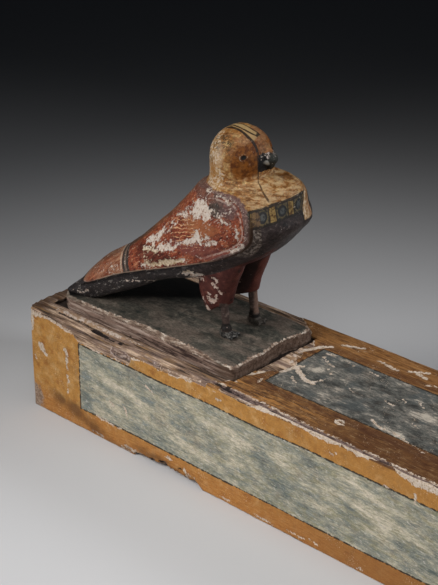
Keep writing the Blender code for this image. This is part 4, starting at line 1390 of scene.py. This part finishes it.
# %% The red wings
RIB_SPACING = 1.7
red = use_group(
    brushed_paint, along_wing, (0.24, 0.048, 0.022), (0.42, 0.125, 0.054), (0.076, 0.014, 0.008), 4.0, 0.8
)
specks = noise(stretched(along_wing, 3.0), 1.1, 5.0, 0.72)
red = blend(ramp(specks, 0.54, 0.64, 0.0, 0.85), red, (0.56, 0.26, 0.14))
red = blend(ramp(specks, 0.47, 0.37, 0.0, 0.85), red, (0.058, 0.012, 0.007))
red = use_group(uneven_tone, own, red, 1.0, 0.9)
orange = patch(-6.5, 10.0, 57.0, 4.6, 3.0, 1.2, 0.25)
red = blend(orange * 0.6, red, (0.42, 0.155, 0.06))
plain_band = patch(-4.0, 17.0, 45.6, 3.6, 5.0, 0.8, 0.30)
red = blend(plain_band * 0.65, red, (0.19, 0.056, 0.05))
deep_band = patch(-31.0, 15.0, 36.2, 3.8, 2.4, 1.2, 0.25)
deep_tone = blend(ramp(specks, 0.42, 0.56), (0.05, 0.01, 0.006), (0.15, 0.034, 0.02))
red = blend(deep_band * 0.85, red, deep_tone)
rib = bu * (0.951 / RIB_SPACING) - bf * (0.309 / RIB_SPACING) + noise(own, 4.0, 2.0) * 1.6
rib = abs(calc("FRACT", rib) - 0.5)
ribs = ramp(rib + noise(own, 1.3, 3.0, 0.6) * 0.5, 0.37, 0.3) * patch(-15.0, 11.0, 52.5, 6.5, 3.0, 1.6, 0.25)
red = blend(ribs * 0.95, red, (0.7, 0.42, 0.23))
smear = ramp(noise(own, 1.6, 5.0, 0.7), 0.4, 0.6)
shoulder = patch(2.4, 4.4, 67.0, 3.6, 2.2, 1.6, 0.20)
red = blend(shoulder * 0.9, red, blend(smear, (0.026, 0.024, 0.019), (0.085, 0.066, 0.052)))
mauve_side = patch(8.8, 4.6, 67.0, 4.0, 2.2, 1.4, 0.20)
red = blend(mauve_side * 0.8, red, blend(smear, (0.08, 0.044, 0.042), (0.17, 0.105, 0.098)))
nape_edge = patch(-5.0, 11.0, 70.8, 2.6, 2.0, 1.8, 0.20)
red = blend(nape_edge * 0.75, red, blend(smear, (0.08, 0.03, 0.02), (0.22, 0.11, 0.085)))
ridge_top = ramp(abs(bl), 12.5, 6.0, 0.0, 0.55)
red = blend(ridge_top, red, (0.15, 0.092, 0.045))
red = blend(ramp(abs(bl), 10.0, 7.0, 0.0, 0.7) * ramp(bf, -38.0, -44.0), red, (0.06, 0.04, 0.03))
print("wing colours")

# %% [markdown]
# The double bar follows the wing's roundness: it is upright on the side and sweeps back towards the middle line.
# The tip beyond it is paler and pinker.

# %% The wing's bars, tip and rim
sweep = bf + (bu - 24.0) * 0.25 + (17.9 - abs(bl)) * 0.42 + hand * 0.4
tip = ramp(sweep, -50.9, -51.6)
tip_tone = blend(
    ramp(noise(stretched(along_wing, 3.0), 2.0, 5.0, 0.66), 0.4, 0.6), (0.2, 0.066, 0.03), (0.49, 0.26, 0.155)
)
red = blend(tip * ramp(bf, -56.0, -64.0, 0.8, 0.45), red, tip_tone)
broken_line = ramp(noise(own, 1.6, 4.0, 0.65), 0.38, 0.5)
red = blend(ramp(abs(sweep + 51.2), 0.9, 0.4, 0.0, 0.8) * broken_line, red, (0.55, 0.43, 0.32))
red = blend(ramp(abs(sweep + 48.2), 2.3, 1.9), red, (0.185, 0.125, 0.096))
bars = greatest(ramp(abs(sweep + 49.6), 0.85, 0.55), ramp(abs(sweep + 46.9), 0.95, 0.65))
bars = bars * ramp(noise(own, 1.2, 4.0, 0.65), 0.32, 0.44)
red = blend(bars * 0.92, red, (0.03, 0.024, 0.022))
at_front = ramp(bf + (bu - 60.0) * 0.6, -20.0, -2.0)
rim_flecks = noise(own, 1.3, 5.0, 0.72)
rim_tone = blend(ramp(rim_flecks, 0.46, 0.54), (0.115, 0.066, 0.06), (0.215, 0.145, 0.13))
rim_tone = blend(ramp(rim_flecks, 0.57, 0.62), rim_tone, (0.52, 0.4, 0.32))
below_nape = greatest(ramp(bf, -3.0, 2.0), ramp(bu, 70.0, 66.0))
at_front = at_front * below_nape
rim_in = ramp(at_front, 0.0, 1.0, 0.7, 1.9) - (rim_field + hand)
red = blend(ramp(rim_in, 0.0, 0.4) * ramp(at_front, 0.0, 1.0, 0.55, 0.85), red, rim_tone)
pale_line = ramp(abs(rim_field + hand - 2.9), 0.55, 0.25) * (at_front * broken_line)
red = blend(pale_line * 0.75, red, (0.52, 0.38, 0.32))
low_line = ramp(abs(rim_field - 0.45), 0.55, 0.25) * (ramp(bf, 6.0, -6.0) * ramp(bu, 52.0, 46.0))
low_line = low_line * ramp(bf, -72.0, -60.0, 0.1, 0.8)
red = blend(low_line * ramp(specks, 0.34, 0.46, 0.2, 0.9), red, (0.5, 0.37, 0.27))
print("bars and rim")

# %% [markdown]
# The collar is two dark lines round the breast with yellow bars and dark ovals between, spaced by the angle round
# the breast, in degrees to the left of its axis. In front a gold strip runs down the breast between two black
# lines.

# %% The collar
BREAST_AXIS = 6.0
COLLAR_MIDDLE = 6.0
FIRST_OVAL, OVAL_SPACING, OVAL_TO_BAR = 12.9, 19.25, 9.6
angle = calc("ARCTAN2", bl, bf - BREAST_AXIS) * (180.0 / math.pi)
turns = (abs(angle - COLLAR_MIDDLE) - FIRST_OVAL) / OVAL_SPACING
turns = turns - calc("ROUND", turns)
from_oval = turns * OVAL_SPACING
from_bar = OVAL_TO_BAR - abs(from_oval)
smudges = noise(own, 1.5, 5.0, 0.68)
collar = blend(ramp(smudges, 0.42, 0.6), (0.024, 0.025, 0.022), (0.14, 0.108, 0.064))
bead = oval(from_oval, 0.0, 4.8, level, 56.9, 2.8)
collar = blend(ramp(bead, -0.22, -0.08) * ramp(smudges, 0.4, 0.56, 0.2, 0.9), collar, (0.145, 0.108, 0.05))
collar = blend(ramp(bead, 0.02, 0.14), collar, (0.022, 0.024, 0.026))
grey_heart = ramp(bead, 0.35, 0.6) * ramp(smudges, 0.4, 0.54, 0.1, 0.7)
collar = blend(grey_heart, collar, (0.135, 0.14, 0.132))
bar_tone = blend(ramp(smudges, 0.42, 0.56), (0.12, 0.06, 0.018), (0.34, 0.225, 0.08))
collar = blend(ramp(from_bar, 3.1, 2.5), collar, bar_tone)
split = ramp(abs(from_bar), 0.55, 0.25) * ramp(smudges, 0.48, 0.56, 0.8, 0.0)
collar = blend(split, collar, (0.09, 0.045, 0.02))
collar = blend(ramp(abs(from_bar - 3.5), 0.9, 0.4, 0.0, 0.85), collar, (0.03, 0.022, 0.016))
gold = tones(smudges, (0.36, (0.2, 0.09, 0.034)), (0.48, (0.5, 0.31, 0.145)), (0.6, (0.8, 0.66, 0.5)))
gold = blend(ramp(angle, 6.0, 11.0, 0.0, 0.7), gold, (0.26, 0.11, 0.04))
strip_side = ramp(bu, 63.0, 72.0, -2.2, 3.0) + ramp(bu, 72.0, 78.0, 0.0, 19.0)
in_strip = angle - strip_side
strip_mask = ramp(least(in_strip, 17.0 - angle), 0.2, 0.8) * ramp(bu, 79.0, 77.5)
strip_line = greatest(ramp(abs(in_strip + 0.8), 1.5, 0.9), ramp(abs(angle - 18.2), 1.3, 0.8)) * ramp(bu, 78.0, 76.5)
collar = blend(strip_mask, collar, gold)
collar = blend(strip_line, collar, (0.022, 0.018, 0.015))
beside = ramp(abs(rim_field + 2.6), 2.0, 1.4)
collar = blend(beside * 0.8, collar, blend(ramp(smudges, 0.44, 0.56), (0.05, 0.032, 0.024), (0.165, 0.095, 0.05)))
above = ramp(bf, 19.0, 22.0)
head = blend(strip_mask * above * 0.85, head, gold)
head = blend(strip_line * above * 0.7, head, (0.075, 0.04, 0.018))
print("collar and front strip")

# %% [markdown]
# Below the collar the bird is nearly black with a breath of purple. The thighs are dark red, painted near black as
# shade where they face each other, the shanks grey-brown, and each ankle has a black band above pale-edged toes.

# %% The dark underside and the legs
dark = use_group(brushed_paint, own, (0.04, 0.028, 0.027), (0.085, 0.064, 0.06), (0.016, 0.013, 0.014), 6.0, 1.0)
dark = blend(ramp(noise(own, 1.4, 5.0, 0.72), 0.58, 0.72, 0.0, 0.6), dark, (0.15, 0.12, 0.11))
dark = blend(ramp(bf, -6.0, -16.0, 0.0, 0.75), dark, (0.025, 0.022, 0.023))
dark = use_group(uneven_tone, own, dark, 1.4, 1.0)
tail_flecks = noise(stretched(along_wing, 2.2), 1.5, 5.0, 0.72)
tail_flecks = ramp(tail_flecks, 0.585, 0.635) * ramp(bf, -8.0, -16.0, 0.15, 0.85)
dark = blend(tail_flecks, dark, (0.3, 0.275, 0.25))
dark = blend(strip_mask * ramp(level, 47.6, 48.4), dark, gold)
dark = blend(strip_line * ramp(level, 46.6, 47.4), dark, (0.02, 0.016, 0.013))
outside = beside * (ramp(bu, 43.0, 48.0) * ramp(bf, 4.0, 10.0))
dark = blend(
    outside * 0.9, dark,
    tones(smudges, (0.4, (0.03, 0.02, 0.016)), (0.5, (0.14, 0.105, 0.085)), (0.58, (0.34, 0.29, 0.25))),
)
thigh = use_group(brushed_paint, own, (0.076, 0.019, 0.015), (0.15, 0.046, 0.034), (0.024, 0.008, 0.007), 4.0, 0.9)
# Painted shade: the sides of the legs that face each other are darkened to near black.
painted_leg_gap_shade = ramp(bl, 5.0, 4.0) * ramp(bl, -7.0, -5.0)
thigh = blend(painted_leg_gap_shade * 0.8, thigh, (0.012, 0.006, 0.005))
thigh = blend(ramp(bl, 4.6, 6.0, 0.0, 0.5), thigh, (0.19, 0.062, 0.046))
shin = use_group(brushed_paint, own, (0.064, 0.042, 0.036), (0.18, 0.13, 0.11), (0.018, 0.012, 0.011), 2.6, 0.7)
toe_noise = noise(own, 1.0, 4.0)
toes = blend(ramp(toe_noise, 0.44, 0.6), (0.022, 0.021, 0.02), (0.15, 0.142, 0.13))
toes = blend(
    ramp(bl, -2.0, 2.0), toes, blend(ramp(toe_noise, 0.42, 0.62), (0.045, 0.038, 0.032), (0.095, 0.08, 0.066))
)
shin = blend(ramp(bu, 3.6, 3.0), shin, toes)
shin = blend(ramp(abs(bu - 5.2), 2.0, 1.5), shin, (0.014, 0.011, 0.01))
lit_side = ramp(bl, 6.0, 7.6) * ramp(bf, 4.6, 6.2)
shin = blend(lit_side * ramp(bu, 4.6, 6.4) * 0.55, shin, (0.34, 0.2, 0.145))
leg_paint = blend(ramp(shank_field, -0.1, 0.2), thigh, shin)
print("belly and leg colours")

# %% [markdown]
# The zones are laid over each other from the belly up. The lines that divide them are drawn last: the collar's two
# edges, the line that runs from the crown past the beak and across the breast, the crown's narrow tongue and the
# eye.

# %% Lines on the head
COLLAR_LOW, COLLAR_HIGH = 53.0, 60.7
body = blend(ramp(level, COLLAR_LOW - 0.15, COLLAR_LOW + 0.15), dark, collar)
body = blend(ramp(level, COLLAR_HIGH - 0.15, COLLAR_HIGH + 0.15), body, head)
collar_lines = greatest(ramp(abs(level - COLLAR_HIGH), 0.85, 0.5), ramp(abs(level - COLLAR_LOW), 0.75, 0.45))
collar_lines = collar_lines * (1.0 - strip_mask)
collar_lines = collar_lines * ramp(noise(own, 2.0, 4.0, 0.65), 0.34, 0.46, 0.35, 0.95)
body = blend(collar_lines, body, (0.02, 0.016, 0.013))


def line_over(places):
    """Left as a function of forward, read off a smooth curve through (forward, left) places."""
    start, end = -30.0, 40.0
    left_of = make("FloatCurve", {"Value": (bf - start) / (end - start)})
    mapping = left_of.socket.node.mapping
    rows = [((a - start) / (end - start), (b + 20.0) / 40.0) for a, b in places]
    mapping.curves[0].points[0].location = rows[0]
    mapping.curves[0].points[1].location = rows[-1]
    for a, b in rows[1:-1]:
        mapping.curves[0].points.new(a, b)
    mapping.update()
    return left_of * 40.0 - 20.0


face_line = line_over(
    ((-30.0, 1.0), (-2.9, -2.6), (0.9, -3.9), (4.5, -4.8), (7.9, -5.5), (13.4, -5.9), (14.7, -6.6), (15.9, -8.7),
     (18.8, -11.5), (20.6, -12.7), (22.6, -13.4), (24.0, -13.8), (40.0, -16.0))
)
line_reach = ramp(bf, -5.0, -3.0) * ramp(bf, 24.8, 23.8)
line_half = ramp(bu, 77.0, 90.0, 0.24, 0.48) + centred(noise(own, 2.0, 3.0), 0.5)
face_mark = ramp(abs(bl - face_line) - line_half, 0.3, 0.0) * line_reach
tongue_near = line_over(
    ((-30.0, 0.0), (-1.7, -1.2), (3.0, -2.9), (6.4, -3.4), (9.3, -3.0), (10.9, -2.0), (40.0, -1.0))
)
tongue_far = line_over(((-30.0, 3.0), (-1.0, 1.4), (1.0, 1.1), (5.1, 0.1), (8.4, -0.4), (10.6, 0.2), (40.0, 1.0)))
tongue_reach = ramp(bf, -6.0, -4.5) * ramp(bf, 11.8, 11.2)
tongue_end = ramp(abs(bf - 10.9), 0.8, 0.4) * ramp(abs(bl + 0.9), 1.5, 1.2)
tongue_mark = greatest(ramp(abs(bl - tongue_near), 0.56, 0.3), ramp(abs(bl - tongue_far), 0.52, 0.26), tongue_end)
tongue_mark = tongue_mark * tongue_reach
crown_only = ramp(bu, 90.0, 92.0)
in_tongue = least(bl - tongue_near, tongue_far - bl)
by_tongue = least(tongue_near - bl, bl - face_line)
cream_bands = greatest(ramp(in_tongue, 0.1, 0.4), ramp(by_tongue, 0.3, 0.6, 0.0, 0.8)) * tongue_reach * crown_only
body = blend(cream_bands * 0.85, body, (0.52, 0.36, 0.165))
marks = greatest(face_mark, tongue_mark * crown_only) * ramp(noise(own, 1.4, 3.0), 0.34, 0.44, 0.5, 1.0)
marks = marks * (ramp(level, 58.0, 60.0) * ramp(leg_field, 0.0, -0.5))
mark_tone = blend(ramp(bu, 84.0, 78.0), (0.016, 0.012, 0.01), (0.08, 0.038, 0.014))
body = blend(marks * 0.93, body, mark_tone)
print("crown and breast lines drawn")

# %% [markdown]
# The eye is a small black dot in a thin, broken ring. The beak's black paint is half gone, so pale ground shows on
# its ridge and in spots, and a pale grey painted highlight lies near its tip.

# %% The eye and the beak
pupil = oval(bf, EYE[0], 0.95, bu, EYE[1], 1.0)
on_side = ramp(abs(bl), 7.5, 8.5)
eye_ring = ramp(abs(pupil + 0.45), 0.28, 0.12) * on_side * ramp(noise(own, 1.0, 3.0), 0.46, 0.58, 0.0, 0.65)
body = blend(eye_ring, body, (0.44, 0.35, 0.25))
body = blend(ramp(pupil, -0.15, 0.1) * on_side, body, (0.008, 0.006, 0.005))
beak_zone = least(least(6.4 - abs(bl), bf - 13.4), least(bu - 81.2, 89.3 - bu))
beak_mask = use_group(ragged_loss, own, beak_zone, 2.4, 3.0, 0.2)
beak_flecks = noise(own, 1.5, 4.0, 0.66) + ramp(bu, 85.4, 88.2, -0.07, 0.07) + ramp(bf, 14.5, 16.5, -0.06, 0.0)
beak_paint = tones(
    beak_flecks, (0.46, (0.006, 0.005, 0.006)), (0.54, (0.02, 0.017, 0.017)), (0.6, (0.11, 0.09, 0.075)),
    (0.66, (0.66, 0.55, 0.5)),
)
beak_paint = blend(ramp(bf, 17.2, 18.8, 0.0, 0.75), beak_paint, (0.038, 0.04, 0.032))
# Painted highlight: a pale grey spot where light catches the black beak.
painted_beak_highlight = patch(17.0, 1.0, 85.0, 1.2, 1.0, 0.7, 0.35)
beak_paint = blend(painted_beak_highlight, beak_paint, (0.42, 0.41, 0.38))
body = blend(beak_mask, body, beak_paint)
print("eye and beak painted")

# %% [markdown]
# Last the wings and legs go over the body, then the losses: flakes where the carving has them, pin-prick chips along
# the wing, and in both the pale ground. Dirt darkens all of it a little.

# %% The falcon's losses and finish
edge_torn = centred(noise(own, 1.4, 4.0, 0.65), 1.2)
colour = blend(ramp(wing_field + edge_torn, -0.1, 0.1), body, red)
outer_line = ramp(abs(rim_field + 0.4), 0.8, 0.4) * (at_front * ramp(bu, 67.0, 63.0))
colour = blend(outer_line * 0.8, colour, (0.07, 0.034, 0.018))
colour = blend(ramp(leg_field, 0.0, 0.2), colour, leg_paint)
loss_mask = use_group(ragged_loss, own, loss_field, 1.5, 5.4, 0.14)
chip_rate = ramp(wing_field, -0.5, 0.5, 0.725, 0.64) - ramp(loss_field, -2.6, -0.4, 0.0, 0.05)
chips = use_group(small_chips, stretched(along_wing, 1.8), 0.75, 7.0, chip_rate)
ground_noise = noise(own, 1.2, 5.0, 0.72)
ground_tone = tones(
    ground_noise, (0.34, (0.27, 0.16, 0.11)), (0.42, (0.56, 0.42, 0.34)), (0.52, (0.76, 0.66, 0.57)),
    (0.66, (0.62, 0.56, 0.53)),
)
creamy = patch(-27.0, 17.0, 35.0, 4.6, 3.0, 0.8, 0.25)
ground_tone = blend(
    creamy * 0.7, ground_tone, blend(ramp(ground_noise, 0.4, 0.56), (0.4, 0.26, 0.12), (0.72, 0.58, 0.38))
)
ground_tone = blend(ramp(leg_field, 0.0, 0.5, 0.0, 0.45), ground_tone, (0.46, 0.27, 0.21))
colour = blend(chips * 0.8, colour, ground_tone)
colour = blend(loss_mask, colour, ground_tone)
colour = blend(ramp(noise(own, 9.0, 5.0, 0.66), 0.54, 0.76, 0.0, 0.45), colour, (0.06, 0.034, 0.022))
bumps = noise(own, 0.6, 5.0, 0.7) * 0.8 + noise(stretched(along_wing, 8.0), 0.7, 3.0) * 0.6
bumps = bumps - greatest(loss_mask, chips) * 0.7
close_material(surface, colour, ramp(loss_mask, 0.0, 1.0, 0.5, 0.8), bumps, 0.9)
print("painted_falcon:", len(tree.nodes), "nodes")

# %% [markdown]
# ## The floor
# A wide pale sheet, so that the object stands in soft light on its own shadow.

# %% The floor
deselect(action="DESELECT")
bpy.ops.mesh.primitive_plane_add(size=9.0, location=(0.0, 1.5, 0.0))
floor = bpy.context.object
floor.name = "studio_floor"
floor_paint, tree, surface = new_material("pale_floor")
place = object_millimetres()
tone = blend(noise(place, 180.0, 3.0), (0.61, 0.61, 0.625), (0.64, 0.64, 0.655))
surface.inputs["Specular IOR Level"].default_value = 0.0
close_material(surface, tone, ramp(noise(place, 40.0, 2.0), 0.3, 0.7, 0.8, 0.9), noise(place, 1.5, 2.0), 0.05)
floor.data.materials.append(floor_paint)
print("floor", tuple(round(v, 1) for v in floor.dimensions))

# %% [markdown]
# ## Handing over
# Each fine piece takes its material, rides on the one body, and stands for its solid.

# %% Handing over
for thing, node, slot, paint_name in (
    (block, "base", "base_paint", block_paint),
    (board, "plinth_plate", "plate_paint", board_paint),
    (carving, "falcon", "falcon_paint", falcon_paint),
):
    thing.data.materials.clear()
    thing.data.materials.append(paint_name)
    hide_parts(node)
    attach(thing, "root")
    print(thing.name, "has", sum(len(face.vertices) - 2 for face in thing.data.polygons), "triangles")
